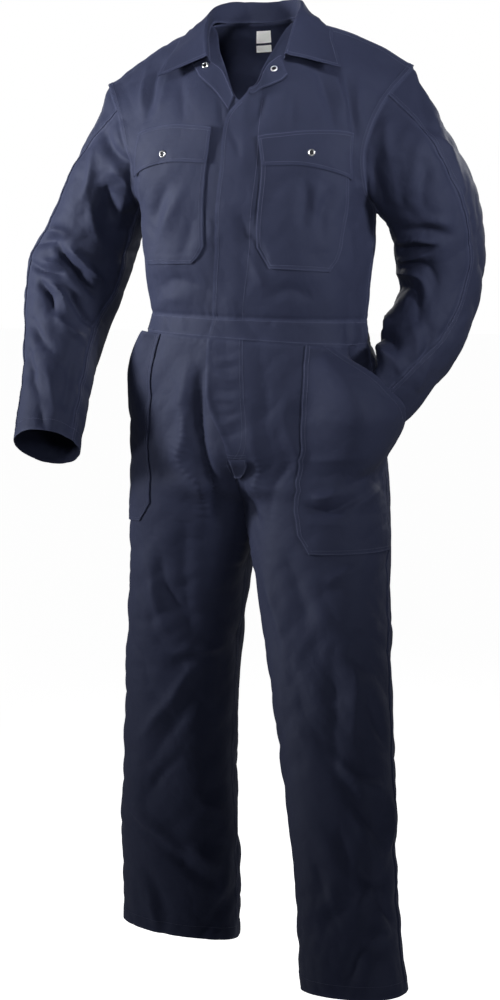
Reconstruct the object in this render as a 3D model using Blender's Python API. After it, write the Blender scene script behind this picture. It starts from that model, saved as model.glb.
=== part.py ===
"""Boiler suit, worn: one-piece workwear of woven cloth, held in the shape of its wearer.

Metres, +Z up. The wearer faces -Y and their left hand is on +X. The origin is the middle of the neck opening.
Every cloth piece is a wall between an outer surface and the same surface moved in along its normals.
"""

import math

import bpy
import numpy as np

# Driving sizes, in metres.
CLOTH = 0.0014
SEAM_GAP = 0.0003
LAYER_GAP = 0.0013
LAYER = CLOTH + LAYER_GAP
LABEL = 0.0006
LABEL_GAP = 0.0003
STUD_RADIUS = 0.0058
STUD_HEIGHT = 0.0022
STUD_GAP = 0.0006
COLLAR_ROLL = 0.0035
COLLAR_REST = 0.0064
LEFT_PUFF = 0.057
RIGHT_PUFF = 0.014
V_LEFT = (0.017, -0.103, -0.084)
V_RIGHT = (0.004, -0.102, -0.104)

# How far each panel is trimmed back at its seams, how near two edges are to share a seam, and how far round
# it a panel is looked for beneath the collar.
TRIM = 0.6 * SEAM_GAP
ARMHOLE_TRIM = 0.0012
SLEEVE_TRIM = 0.0004
MEETING = 0.0010
REACH = 0.030

# Shares of a panel's width or length.
PLACKET_EDGE = 0.100
PLACKET_TUCK = 0.030
FLY_EDGE = 0.082
FLY_TUCK = 0.030
FLY_STRAIGHT = 0.13
FLY_FOOT = 0.27
ARMHOLE_FOOT = 4 / 6

# How square the sections of the legs are: 1 is an ellipse.
SQUARE = 0.86

# Fineness of the panels.
BODICE_ROWS = 15
FRONT_COLUMNS = 14
WAIST_ROWS = 2
LEG_ROWS = 20
LEG_COLUMNS = 14
SLEEVE_ROWS = 13
SLEEVE_OUTER = 2
SLEEVE_UNDER = 9
COLLAR_COLUMNS = 24
STUD_SIDES = 12

# Turn of the body about its upright axis and lift of each shoulder, by height.
STANCE = (
    # z, turn in degrees, lift per metre of x, shift of x
    (0.080, 4.0, 0.050, 0.006),
    (-0.060, 4.0, 0.045, 0.003),
    (-0.180, 4.0, 0.030, 0.001),
    (-0.320, 0.0, 0.000, 0.002),
    (-0.444, -4.0, -0.030, 0.002),
    (-0.475, -4.0, -0.060, 0.002),
    (-0.600, -2.5, -0.010, 0.001),
    (-0.735, 0.0, 0.000, 0.000),
    (-1.600, 0.0, 0.000, 0.000),
)

# Left half of the bodice front: rows of five points, from the front edge out to the armhole or side seam.
FRONT = (
    (
        (0.006, -0.102, -0.084),
        (0.040, -0.058, -0.030),
        (0.073, -0.008, 0.024),
        (0.165, 0.012, -0.006),
        (0.252, 0.028, -0.057),
    ),
    (
        (0.004, -0.120, -0.152),
        (0.052, -0.108, -0.112),
        (0.104, -0.078, -0.078),
        (0.160, -0.050, -0.078),
        (0.216, -0.030, -0.115),
    ),
    (
        (0.002, -0.126, -0.204),
        (0.056, -0.121, -0.186),
        (0.110, -0.106, -0.170),
        (0.156, -0.084, -0.168),
        (0.194, -0.055, -0.182),
    ),
    (
        (0.000, -0.125, -0.256),
        (0.058, -0.121, -0.248),
        (0.112, -0.108, -0.240),
        (0.160, -0.078, -0.238),
        (0.194, -0.030, -0.242),
    ),
    (
        (0.000, -0.121, -0.304),
        (0.058, -0.118, -0.300),
        (0.112, -0.104, -0.296),
        (0.164, -0.062, -0.288),
        (0.197, 0.030, -0.280),
    ),
    (
        (0.000, -0.115, -0.370),
        (0.058, -0.112, -0.370),
        (0.112, -0.097, -0.368),
        (0.163, -0.056, -0.366),
        (0.192, 0.030, -0.364),
    ),
    (
        (0.000, -0.106, -0.444),
        (0.056, -0.100, -0.444),
        (0.108, -0.080, -0.444),
        (0.158, -0.041, -0.444),
        (0.185, 0.030, -0.444),
    ),
)

# Left half of the bodice back: rows of five points, from the middle out to the armhole or side seam.
BACK = (
    (
        (0.000, 0.066, 0.030),
        (0.043, 0.050, 0.031),
        (0.073, -0.008, 0.024),
        (0.165, 0.012, -0.006),
        (0.252, 0.028, -0.057),
    ),
    (
        (0.000, 0.112, -0.045),
        (0.050, 0.108, -0.045),
        (0.104, 0.090, -0.052),
        (0.165, 0.080, -0.078),
        (0.226, 0.078, -0.122),
    ),
    (
        (0.000, 0.142, -0.130),
        (0.056, 0.139, -0.130),
        (0.110, 0.130, -0.134),
        (0.160, 0.112, -0.148),
        (0.207, 0.086, -0.185),
    ),
    (
        (0.000, 0.152, -0.215),
        (0.058, 0.149, -0.215),
        (0.112, 0.139, -0.217),
        (0.160, 0.116, -0.226),
        (0.200, 0.068, -0.244),
    ),
    (
        (0.000, 0.152, -0.290),
        (0.058, 0.149, -0.290),
        (0.112, 0.137, -0.290),
        (0.162, 0.108, -0.286),
        (0.197, 0.030, -0.280),
    ),
    (
        (0.000, 0.148, -0.370),
        (0.058, 0.145, -0.370),
        (0.112, 0.133, -0.369),
        (0.160, 0.103, -0.366),
        (0.192, 0.030, -0.364),
    ),
    (
        (0.000, 0.142, -0.444),
        (0.058, 0.136, -0.444),
        (0.110, 0.120, -0.444),
        (0.156, 0.090, -0.444),
        (0.185, 0.030, -0.444),
    ),
)

# Left trouser leg, front half of each section. The inner edge is at start, the side seam at 90 degrees.
# The sections of the right leg hold the same columns.
LEG_LEFT = (
    # z, x, y, outer, inner, front, back, start of front, start of back, rise of the outer side
    (-0.475, 0.000, 0.030, 0.185, 0.185, 0.136, 0.112, 0, 0, 0.000),
    (-0.530, 0.000, 0.032, 0.202, 0.202, 0.140, 0.122, 0, 0, 0.000),
    (-0.600, 0.000, 0.034, 0.208, 0.208, 0.141, 0.132, 0, 0, 0.000),
    (-0.665, 0.010, 0.033, 0.203, 0.130, 0.138, 0.132, -4, -4, 0.000),
    (-0.710, 0.072, 0.028, 0.147, 0.086, 0.128, 0.128, -56, -56, 0.000),
    (-0.742, 0.104, 0.022, 0.118, 0.102, 0.122, 0.120, -90, -90, 0.000),
    (-0.800, 0.115, 0.006, 0.113, 0.107, 0.112, 0.110, -90, -90, 0.000),
    (-0.900, 0.132, -0.030, 0.105, 0.103, 0.098, 0.096, -90, -90, 0.000),
    (-1.020, 0.161, -0.085, 0.095, 0.093, 0.088, 0.088, -90, -90, 0.000),
    (-1.160, 0.191, -0.150, 0.088, 0.085, 0.080, 0.080, -90, -90, 0.000),
    (-1.310, 0.221, -0.212, 0.080, 0.076, 0.074, 0.076, -90, -90, 0.000),
    (-1.455, 0.246, -0.262, 0.082, 0.078, 0.066, 0.070, -90, -90, -0.004),
)
LEG_RIGHT = (
    (-0.475, 0.000, 0.030, 0.185, 0.185, 0.136, 0.112, 0, 0, 0.000),
    (-0.530, 0.000, 0.032, 0.202, 0.202, 0.140, 0.122, 0, 0, 0.000),
    (-0.600, 0.000, 0.034, 0.209, 0.209, 0.141, 0.132, 0, 0, 0.000),
    (-0.665, 0.010, 0.033, 0.200, 0.130, 0.138, 0.132, -4, -4, 0.000),
    (-0.710, 0.072, 0.031, 0.137, 0.086, 0.128, 0.128, -56, -56, 0.000),
    (-0.742, 0.104, 0.034, 0.106, 0.102, 0.122, 0.120, -90, -90, 0.000),
    (-0.800, 0.109, 0.036, 0.103, 0.102, 0.114, 0.112, -90, -90, 0.000),
    (-0.900, 0.121, 0.040, 0.098, 0.095, 0.100, 0.098, -90, -90, 0.000),
    (-1.020, 0.133, 0.046, 0.096, 0.092, 0.090, 0.090, -90, -90, 0.000),
    (-1.160, 0.140, 0.050, 0.096, 0.092, 0.080, 0.084, -90, -90, 0.002),
    (-1.310, 0.141, 0.052, 0.102, 0.096, 0.072, 0.076, -90, -90, 0.010),
    (-1.490, 0.137, 0.050, 0.104, 0.096, 0.064, 0.070, -90, -90, 0.026),
)

# Sleeve sections below the armhole: the middle, half the width across the arm, half the depth from front to
# back, how far the section leans up on its outer side, and how far it turns about the arm, in degrees.
SLEEVE_LEFT = (
    # x, y, z, width, depth, lean, turn
    (0.2610, 0.050, -0.222, 0.093, 0.084, 40, 0),
    (0.2830, 0.078, -0.290, 0.086, 0.082, 26, 0),
    (0.2900, 0.096, -0.352, 0.072, 0.080, 8, 0),
    (0.2880, 0.090, -0.412, 0.063, 0.074, 0, 4),
    (0.2720, 0.060, -0.478, 0.061, 0.068, 0, 12),
    (0.2500, 0.022, -0.532, 0.044, 0.060, 0, 24),
    (0.2330, -0.010, -0.576, 0.018, 0.050, 0, 32),
    (0.2170, -0.036, -0.602, 0.011, 0.042, 0, 34),
)
SLEEVE_RIGHT = (
    (0.2525, 0.035, -0.2325, 0.082, 0.084, 36, 0),
    (0.2840, 0.030, -0.315, 0.082, 0.083, 20, 0),
    (0.3130, 0.020, -0.385, 0.084, 0.080, 4, 0),
    (0.3190, -0.010, -0.455, 0.069, 0.073, 0, 0),
    (0.3150, -0.060, -0.545, 0.056, 0.065, 0, 0),
    (0.3080, -0.125, -0.652, 0.051, 0.062, 0, 0),
)

# The collar's halves, each from the middle of the back round to its front end: where it is sewn on, where it
# rolls over, and its outer edge. The right half's x is counted to the right.
COLLAR_LEFT = (
    # seam x, y, z, roll x, y, z, edge x, y, z
    (0.000, 0.0655, 0.0304, 0.000, 0.076, 0.065, 0.000, 0.104, 0.018),
    (0.028, 0.0580, 0.0316, 0.029, 0.068, 0.066, 0.046, 0.094, 0.016),
    (0.053, 0.0330, 0.0310, 0.055, 0.040, 0.063, 0.083, 0.062, 0.014),
    (0.068, 0.0000, 0.0290, 0.072, 0.002, 0.051, 0.107, 0.018, 0.006),
    (0.067, -0.0350, 0.0040, 0.071, -0.040, 0.019, 0.136, -0.030, -0.020),
    (0.064, -0.0700, -0.0400, 0.068, -0.078, -0.032, 0.158, -0.077, -0.058),
)
COLLAR_RIGHT = (
    (0.000, 0.0655, 0.0304, 0.000, 0.076, 0.065, 0.000, 0.104, 0.018),
    (0.028, 0.0580, 0.0316, 0.029, 0.068, 0.067, 0.046, 0.094, 0.016),
    (0.053, 0.0330, 0.0310, 0.056, 0.040, 0.065, 0.083, 0.062, 0.014),
    (0.068, 0.0000, 0.0290, 0.073, 0.002, 0.053, 0.107, 0.018, 0.006),
    (0.067, -0.0350, 0.0040, 0.070, -0.040, 0.018, 0.130, -0.030, -0.017),
    (0.055, -0.0690, -0.0360, 0.059, -0.077, -0.027, 0.139, -0.077, -0.055),
)


# Patches sewn on a panel: each row is the column and row of its first end and of its last end on that panel.
POCKET_RIGHT = (
    (0.185, 0.330, 0.782, 0.285),
    (0.185, 0.440, 0.776, 0.400),
    (0.200, 0.540, 0.782, 0.500),
    (0.215, 0.640, 0.790, 0.610),
    (0.235, 0.760, 0.796, 0.741),
    (0.250, 0.792, 0.760, 0.778),
    (0.285, 0.820, 0.713, 0.804),
)
POCKET_LEFT = (
    (0.262, 0.320, 0.870, 0.390),
    (0.266, 0.420, 0.850, 0.480),
    (0.264, 0.520, 0.826, 0.560),
    (0.262, 0.630, 0.800, 0.660),
    (0.260, 0.742, 0.775, 0.772),
    (0.300, 0.780, 0.759, 0.802),
    (0.350, 0.820, 0.722, 0.838),
)
FLAP_RIGHT = (
    (0.175, 0.282, 0.800, 0.212),
    (0.150, 0.330, 0.796, 0.260),
    (0.125, 0.380, 0.790, 0.310),
    (0.102, 0.428, 0.778, 0.358),
)
FLAP_LEFT = (
    (0.241, 0.247, 0.889, 0.301),
    (0.250, 0.290, 0.886, 0.358),
    (0.259, 0.333, 0.883, 0.415),
    (0.269, 0.377, 0.880, 0.472),
)
HIP_LEFT = (
    (0.468, 0.006, 0.650, 0.006),
    (0.433, 0.060, 0.745, 0.055),
    (0.408, 0.120, 0.840, 0.108),
    (0.383, 0.174, 0.925, 0.160),
    (0.336, 0.227, 0.985, 0.212),
    (0.317, 0.273, 0.985, 0.265),
    (0.400, 0.318, 0.985, 0.318),
    (0.464, 0.371, 0.985, 0.371),
    (0.496, 0.439, 0.985, 0.439),
    (0.500, 0.489, 0.985, 0.489),
    (0.496, 0.528, 0.985, 0.528),
    (0.525, 0.561, 0.985, 0.561),
)
HIP_RIGHT = (
    (0.390, 0.006, 0.542, 0.006),
    (0.275, 0.060, 0.533, 0.066),
    (0.165, 0.108, 0.520, 0.120),
    (0.075, 0.160, 0.530, 0.174),
    (0.015, 0.212, 0.540, 0.227),
    (0.015, 0.265, 0.520, 0.273),
    (0.015, 0.318, 0.465, 0.318),
    (0.015, 0.371, 0.410, 0.371),
    (0.015, 0.420, 0.388, 0.420),
    (0.015, 0.458, 0.383, 0.458),
    (0.015, 0.490, 0.350, 0.486),
    (0.015, 0.520, 0.310, 0.512),
)
LAPEL_RIGHT = (
    (0.490, 0.098, 0.570, 0.054),
    (0.608, 0.111, 0.672, 0.050),
    (0.725, 0.102, 0.790, 0.020),
    (0.842, 0.095, 0.895, 0.006),
    (0.890, 0.095, 0.930, 0.006),
)
LAPEL_LEFT = (
    (0.018, 0.006, 0.042, 0.028),
    (0.120, 0.006, 0.150, 0.054),
    (0.230, 0.026, 0.295, 0.104),
    (0.330, 0.044, 0.395, 0.126),
    (0.372, 0.054, 0.434, 0.124),
)
TONGUE = (
    (0.006, 0.272, 0.080, 0.272),
    (0.006, 0.292, 0.090, 0.292),
    (0.014, 0.312, 0.086, 0.312),
    (0.030, 0.326, 0.070, 0.326),
)
LABEL_UPPER = (
    (0.481, 0.024, 0.545, 0.024),
    (0.483, 0.044, 0.548, 0.044),
    (0.484, 0.064, 0.551, 0.064),
)
LABEL_LOWER = (
    (0.486, 0.073, 0.552, 0.073),
    (0.488, 0.097, 0.554, 0.097),
)
STUDS = (
    # name, panel, column, row, layers beneath
    ("stud_pocket_right", "front_right", 0.444, 0.361, 2),
    ("stud_pocket_left", "front_left", 0.583, 0.375, 1.92),
    ("stud_neck_right", "front_right", 0.639, 0.074, 0.94),
    ("stud_neck_left", "front_left", 0.324, 0.069, 1.54),
)


def spline(rows, at):
    """Points of a Catmull-Rom curve through evenly spaced rows, for places from 0 to 1."""
    rows = np.asarray(rows, float)
    last = len(rows) - 1
    padded = np.concatenate([2 * rows[:1] - rows[1:2], rows, 2 * rows[-1:] - rows[-2:-1]])
    place = np.asarray(at, float) * last
    first = np.clip(np.floor(place).astype(int), 0, last - 1)
    t = (place - first).reshape(place.shape + (1,) * (rows.ndim - 1))
    a, b, c, d = (padded[first + k] for k in range(4))
    return 0.5 * (2 * b + (c - a) * t + (2 * a - 5 * b + 4 * c - d) * t**2 + (3 * b - a - 3 * c + d) * t**3)


def eased(z, table):
    """Each column of a table read at the heights z, with a soft start and stop at every row."""
    table = np.asarray(table, float)[::-1]
    place = np.interp(z, table[:, 0], np.arange(len(table)))
    whole = np.clip(np.floor(place), 0, len(table) - 2).astype(int)
    part = place - whole
    part = part * part * (3 - 2 * part)
    return [table[whole, k] * (1 - part) + table[whole + 1, k] * part for k in range(1, table.shape[1])]


def stance(points):
    """The body's points turned, lifted and shifted by height."""
    points = np.array(points, float)
    turn, lift, shift = eased(points[..., 2], STANCE)
    turn = np.radians(turn)
    x = points[..., 0].copy()
    y = points[..., 1] - 0.03
    points[..., 0] = x * np.cos(turn) - y * np.sin(turn) + shift
    points[..., 1] = x * np.sin(turn) + y * np.cos(turn) + 0.03
    points[..., 2] += lift * x
    return points


def mirrored(table, middle=None):
    """A half table of rows of points made whole: columns run from the right side to the left side."""
    half = np.array(table, float)
    if middle is not None:
        half[0, 0] = middle
    other = half[:, :0:-1] * (-1, 1, 1)
    return np.concatenate([other, half], axis=1)


def bodice(table, places, downs):
    """A grid of points on the bodice, a row for each of downs. places run from -1, right, to 1, left."""
    grid = [spline(spline(table, down), (row + 1) / 2) for row, down in zip(places, downs)]
    return stance(grid)


def leg(table, side, behind, places, downs):
    """A grid of points on a trouser half. places run from 0 at the inner edge to 1 at the side seam."""
    grid = []
    for row, down in zip(places, downs):
        rings = []
        for z, x, y, outer, inner, front, back, front_start, back_start, rise in table:
            start = back_start if behind else front_start
            angle = np.radians(start + (90 - start) * row)
            wide = np.where(angle > 0, outer, inner)
            deep = back if behind else -front
            along = np.sign(np.sin(angle)) * np.abs(np.sin(angle)) ** SQUARE
            across = np.sign(np.cos(angle)) * np.abs(np.cos(angle)) ** SQUARE
            rings.append(np.stack([x + wide * along, y + deep * across, z + rise * row], axis=-1))
        grid.append(spline(rings, down))
    grid = np.array(grid)
    grid[..., 0] = np.where(places >= 0, np.maximum(grid[..., 0], SEAM_GAP), grid[..., 0])
    return grid * (side, 1, 1)


def joined(grids, pairs, first_row):
    """Makes the edge columns that meet along a seam one line, from the given row down."""
    for one, column, other, facing in pairs:
        middle = (grids[one][first_row:, column] + grids[other][first_row:, facing]) / 2
        grids[one][first_row:, column] = middle
        grids[other][first_row:, facing] = middle


def sleeve(table, side, hole, angles, downs):
    """A grid of points on a sleeve whose first ring is the armhole. Angles run as the armhole's."""
    table = np.array(table, float)
    centres = table[:, :3] * (side, 1, 1)
    start = hole.mean(axis=0)
    along = np.gradient(np.concatenate([start[None] + (0, 0, 0.05), centres]), axis=0)[1:]
    along /= np.linalg.norm(along, axis=1)[:, None]
    turn = np.radians(angles)
    rings = [hole]
    for centre, ahead, (width, depth, lean, swing) in zip(centres, along, table[:, 3:]):
        front = np.array((0.0, -1.0, 0.0))
        front -= ahead * (front @ ahead)
        front /= np.linalg.norm(front)
        out = np.cross(front, ahead) * side
        lean, swing = math.radians(lean), math.radians(swing)
        deep = front * math.cos(swing) - out * math.sin(swing)
        swung = out * math.cos(swing) + front * math.sin(swing)
        wide = swung * math.cos(lean) - ahead * math.sin(lean)
        rings.append(centre + np.outer(np.cos(turn), wide) * width + np.outer(np.sin(turn), deep) * depth)
    return spline(rings, downs)


def normals_of(grid):
    """Unit normals of a grid of points, from its rows and columns."""
    across = np.gradient(grid, axis=1)
    down = np.gradient(grid, axis=0)
    normals = np.cross(down, across)
    return normals / np.linalg.norm(normals, axis=-1, keepdims=True)


def border(grid):
    """The grid's outermost points, in order round it."""
    return np.concatenate([grid[0, :-1], grid[:-1, -1], grid[-1, :0:-1], grid[:0:-1, 0]])


def set_border(grid, values):
    """Writes values back where border read them."""
    rows, columns = grid.shape[0] - 1, grid.shape[1] - 1
    grid[0, :-1] = values[:columns]
    grid[:-1, -1] = values[columns:columns + rows]
    grid[-1, :0:-1] = values[columns + rows:2 * columns + rows]
    grid[:0:-1, 0] = values[2 * columns + rows:]


def share_normals(grids, normals):
    """Gives the pieces that meet along a seam one normal there, so their walls end side by side."""
    names = list(grids)
    points = [border(grids[name]) for name in names]
    ways = [border(normals[name]) for name in names]
    place = np.concatenate(points)
    way = np.concatenate(ways)
    owner = np.concatenate([np.full(len(p), k) for k, p in enumerate(points)])
    near = np.linalg.norm(place[:, None] - place[None], axis=2) < MEETING
    shared = near.astype(float) @ way
    turned = np.linalg.norm(shared, axis=1) < 0.6 * near.sum(axis=1)
    shared[turned] += (0.0, 0.0, -1.0)
    shared /= np.linalg.norm(shared, axis=1)[:, None]
    for k, name in enumerate(names):
        set_border(normals[name], shared[owner == k])


def trimmed(grid, top, sides):
    """The grid with its edges moved in from their seams, the first row by top and the columns by sides."""
    grid = grid.copy()
    moves = (
        (grid[0], grid[1], top),
        (grid[-1], grid[-2], TRIM),
        (grid[:, 0], grid[:, 1], sides),
        (grid[:, -1], grid[:, -2], sides),
    )
    for edge, inner, by in moves:
        way = inner - edge
        edge += way / np.linalg.norm(way, axis=1)[:, None] * by
    return grid


def wall(name, outer, inner, material):
    """A closed wall between two grids of the same shape."""
    rows, columns = outer.shape[:2]
    count = rows * columns
    index = np.arange(count).reshape(rows, columns)
    quads = np.stack([index[:-1, :-1], index[1:, :-1], index[1:, 1:], index[:-1, 1:]], axis=-1).reshape(-1, 4)
    ring = border(index)
    after = np.roll(ring, -1)
    sides = np.stack([ring, after, after + count, ring + count], axis=1)
    faces = np.concatenate([quads, quads[:, ::-1] + count, sides])
    mesh = bpy.data.meshes.new(name)
    points = np.concatenate([outer.reshape(-1, 3), inner.reshape(-1, 3)])
    mesh.from_pydata(points.tolist(), [], faces.tolist())
    mesh.validate()
    mesh.materials.append(material)
    made = bpy.data.objects.new(name, mesh)
    bpy.context.collection.objects.link(made)
    return made


def rows_of(first, last, count):
    """Evenly spaced places from first to last, a row for each pair of ends."""
    first, last = np.broadcast_arrays(first, last)
    return first[:, None] + (last - first)[:, None] * np.linspace(0, 1, count + 1)


def fronts_and_back():
    """The bodice grids, and the lift of the left front where it lies over the right one."""
    downs = np.linspace(0, 1, BODICE_ROWS + 1)
    settled = np.clip(downs / 0.15, 0, 1) ** 0.8
    settled = settled * settled * (3 - 2 * settled)
    left_table = mirrored(FRONT, V_LEFT)
    right_table = mirrored(FRONT, V_RIGHT)
    left_edge = -PLACKET_EDGE * settled
    right_edge = PLACKET_TUCK * settled
    places = {
        "front_left": rows_of(left_edge, 1.0 + 0 * downs, FRONT_COLUMNS),
        "front_right": rows_of(-1.0 + 0 * downs, right_edge, FRONT_COLUMNS),
        "back": rows_of(-1.0 + 0 * downs, 1.0 + 0 * downs, 2 * FRONT_COLUMNS),
    }
    grids = {
        "front_left": bodice(left_table, places["front_left"], downs),
        "front_right": bodice(right_table, places["front_right"], downs),
        "back": bodice(mirrored(BACK), places["back"], downs)[:, ::-1],
    }
    seams = (("front_left", -1, "back", 0), ("front_right", 0, "back", -1))
    joined(grids, seams, round(ARMHOLE_FOOT * BODICE_ROWS))
    half = FRONT_COLUMNS // 2
    left, right, back = grids["front_left"][0], grids["front_right"][0], grids["back"][0]
    left[half:] = (left[half:] + back[half::-1]) / 2
    back[:half + 1] = left[half:][::-1]
    right[:half + 1] = (right[:half + 1] + back[:-half - 2:-1]) / 2
    back[-half - 1:] = right[:half + 1][::-1]
    return places, grids


def trousers():
    """The trouser grids, each with its first column at the inner edge before any flip."""
    downs = np.linspace(0, 1, LEG_ROWS + 1)
    fly = 1 - np.clip((downs - FLY_STRAIGHT) / (FLY_FOOT - FLY_STRAIGHT), 0, 1)
    fly = fly * fly * (3 - 2 * fly)
    plain = rows_of(0 * downs, 1 + 0 * downs, LEG_COLUMNS)
    over = rows_of(-FLY_EDGE * fly, 1 + 0 * downs, LEG_COLUMNS)
    under = rows_of(-FLY_TUCK * fly, 1 + 0 * downs, LEG_COLUMNS)
    places = {
        "trouser_front_left": over,
        "trouser_front_right": under,
        "trouser_back_left": plain,
        "trouser_back_right": plain,
    }
    grids = {
        "trouser_front_left": leg(LEG_LEFT, 1, False, over, downs),
        "trouser_front_right": leg(LEG_RIGHT, -1, False, under, downs)[:, ::-1],
        "trouser_back_left": leg(LEG_LEFT, 1, True, plain, downs)[:, ::-1],
        "trouser_back_right": leg(LEG_RIGHT, -1, True, plain, downs),
    }
    seams = (
        ("trouser_front_left", 0, "trouser_back_left", -1),
        ("trouser_front_right", -1, "trouser_back_right", 0),
    )
    joined(grids, seams, round(5 / (len(LEG_LEFT) - 1) * LEG_ROWS))
    return places, {name: stance(grid) for name, grid in grids.items()}


def arms(grids):
    """The sleeve grids, two to an arm, hung on the armholes of the bodice grids."""
    steps = round(ARMHOLE_FOOT * BODICE_ROWS)
    turns = np.arange(2 * steps + 1) * 180 / steps
    made = {}
    for side, word, table in ((1, "left", SLEEVE_LEFT), (-1, "right", SLEEVE_RIGHT)):
        edge = grids["front_" + word][:, -1 if side == 1 else 0]
        rear = grids["back"][:, 0 if side == 1 else -1]
        hole = np.concatenate([edge[:steps + 1], rear[:steps][::-1]])
        downs = np.linspace(0, 1, SLEEVE_ROWS + 1)
        whole = sleeve(table, side, hole, turns, downs)
        ring = np.concatenate([whole[:, SLEEVE_UNDER:-1], whole[:, :SLEEVE_OUTER + 1]], axis=1)
        front = whole[:, SLEEVE_OUTER:SLEEVE_UNDER + 1]
        made["sleeve_front_" + word] = front[:, ::-1] if side == 1 else front
        made["sleeve_back_" + word] = ring[:, ::-1] if side == 1 else ring
    return made


def collar():
    """The grid of the collar, from the left front end round to the right, and down over the roll."""
    left = np.array(COLLAR_LEFT, float).reshape(-1, 3, 3)
    right = np.array(COLLAR_RIGHT, float).reshape(-1, 3, 3) * (-1, 1, 1)
    whole = np.concatenate([left[:0:-1], right])
    stations = spline(whole, np.linspace(0, 1, COLLAR_COLUMNS + 1))
    seam, roll, edge = stations[:, 0], stations[:, 1], stations[:, 2]
    up = roll - seam
    down = edge - roll
    out = down / np.linalg.norm(down, axis=1)[:, None]
    rise = up / np.linalg.norm(up, axis=1)[:, None]
    across = out - rise * (out * rise).sum(axis=1)[:, None]
    across /= np.linalg.norm(across, axis=1)[:, None]
    lines = []
    for share in (0.0, 0.35, 0.7):
        lines.append(seam + up * share)
    for turn in (0, 45, 90, 135):
        swing = math.radians(turn)
        centre = roll - rise * COLLAR_ROLL + across * COLLAR_ROLL
        lines.append(centre - across * COLLAR_ROLL * math.cos(swing) + rise * COLLAR_ROLL * math.sin(swing))
    foot = lines[-1]
    for share in (0.3, 0.65, 1.0):
        lines.append(foot + (edge - foot) * share)
    return stance(np.array(lines))


def smooth(x):
    x = np.clip(x, 0, 1)
    return x * x * (3 - 2 * x)


def on_grid(grid, columns, rows):
    """Values of a grid at fractional places, each from 0 to 1."""
    across = np.clip(columns, 0, 1) * (grid.shape[1] - 1)
    down = np.clip(rows, 0, 1) * (grid.shape[0] - 1)
    left = np.minimum(across.astype(int), grid.shape[1] - 2)
    top = np.minimum(down.astype(int), grid.shape[0] - 2)
    s = (across - left)[..., None]
    t = (down - top)[..., None]
    upper = grid[top, left] * (1 - s) + grid[top, left + 1] * s
    lower = grid[top + 1, left] * (1 - s) + grid[top + 1, left + 1] * s
    return upper * (1 - t) + lower * t


def patch(panel, table, columns, rows, layers, puff=None):
    """Outer and inner grids of a piece sewn on a panel, that many layers above it."""
    grid, normals = panel
    ends = spline_even(table, rows)
    share = np.linspace(0, 1, columns + 1)
    first, last = ends[:, None, :2], ends[:, None, 2:]
    places = first + (last - first) * share[None, :, None]
    point = on_grid(grid, places[..., 0], places[..., 1])
    normal = on_grid(normals, places[..., 0], places[..., 1])
    normal /= np.linalg.norm(normal, axis=-1, keepdims=True)
    lift = np.full(point.shape[:2], layers * LAYER)
    if puff is not None:
        lift = lift + puff(share[None, :], np.linspace(0, 1, len(ends))[:, None])
    outer = point + normal * lift[..., None]
    ways = normals_of(outer)
    if (ways * normal).sum() < 0:
        outer, ways = outer[:, ::-1], -ways[:, ::-1]
    return outer, ways


def spline_even(table, rows):
    """The table's rows joined by straight lines, read at evenly spaced places."""
    table = np.asarray(table, float)
    place = np.linspace(0, len(table) - 1, rows + 1)
    return np.stack([np.interp(place, np.arange(len(table)), table[:, k]) for k in range(4)], axis=1)


def left_puff(across, down):
    """How far the left hip pocket stands off round the cuff inside it."""
    held = smooth(across / 0.55) * smooth((down + 0.06) / 0.18)
    reach = 0.54 + 0.20 * smooth((1 - across) / 0.5)
    return LEFT_PUFF * held * (1 - smooth((down - 0.24) / (reach - 0.24)))


def right_puff(across, down):
    """How far the right hip pocket gapes at its slanted mouth."""
    held = smooth((1 - across) / 0.80) * smooth((0.50 - down) / 0.50)
    side = 1 - smooth((down - 0.30) / 0.14) * smooth((0.5 - across) / 0.5)
    return RIGHT_PUFF * held * side


def stud(name, panel, column, row, layers, material):
    """A pressed stud: a low ring with a dished middle, set on its panel."""
    grid, normals = panel
    place = np.array([column]), np.array([row])
    middle = on_grid(grid, *place)[0]
    normal = on_grid(normals, *place)[0]
    normal /= np.linalg.norm(normal)
    across = np.cross((0.0, 0.0, 1.0), normal)
    across /= np.linalg.norm(across)
    up = np.cross(normal, across)
    profile = (
        (1.00, 0.00),
        (1.00, 0.45),
        (0.82, 1.00),
        (0.55, 0.90),
        (0.40, 0.45),
    )
    turns = np.linspace(0, 2 * math.pi, STUD_SIDES + 1)[:-1]
    foot = middle + normal * (layers * LAYER + STUD_GAP)
    points = [foot, foot + normal * STUD_HEIGHT * 0.45]
    for radius, height in profile:
        for turn in turns:
            way = across * math.cos(turn) + up * math.sin(turn)
            points.append(foot + way * radius * STUD_RADIUS + normal * height * STUD_HEIGHT)
    faces = []
    top = 2 + (len(profile) - 1) * STUD_SIDES
    for k in range(STUD_SIDES):
        n = (k + 1) % STUD_SIDES
        faces.append((0, 2 + n, 2 + k))
        faces.append((1, top + k, top + n))
        for ring in range(len(profile) - 1):
            low = 2 + ring * STUD_SIDES
            high = low + STUD_SIDES
            faces.append((low + k, low + n, high + n, high + k))
    mesh = bpy.data.meshes.new(name)
    mesh.from_pydata([tuple(point) for point in points], [], faces)
    mesh.materials.append(material)
    made = bpy.data.objects.new(name, mesh)
    bpy.context.collection.objects.link(made)


def material(name, color, metallic, roughness):
    made = bpy.data.materials.new(name)
    made.use_nodes = True
    shader = made.node_tree.nodes["Principled BSDF"]
    shader.inputs["Base Color"].default_value = (*color, 1)
    shader.inputs["Metallic"].default_value = metallic
    shader.inputs["Roughness"].default_value = roughness
    return made


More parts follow.
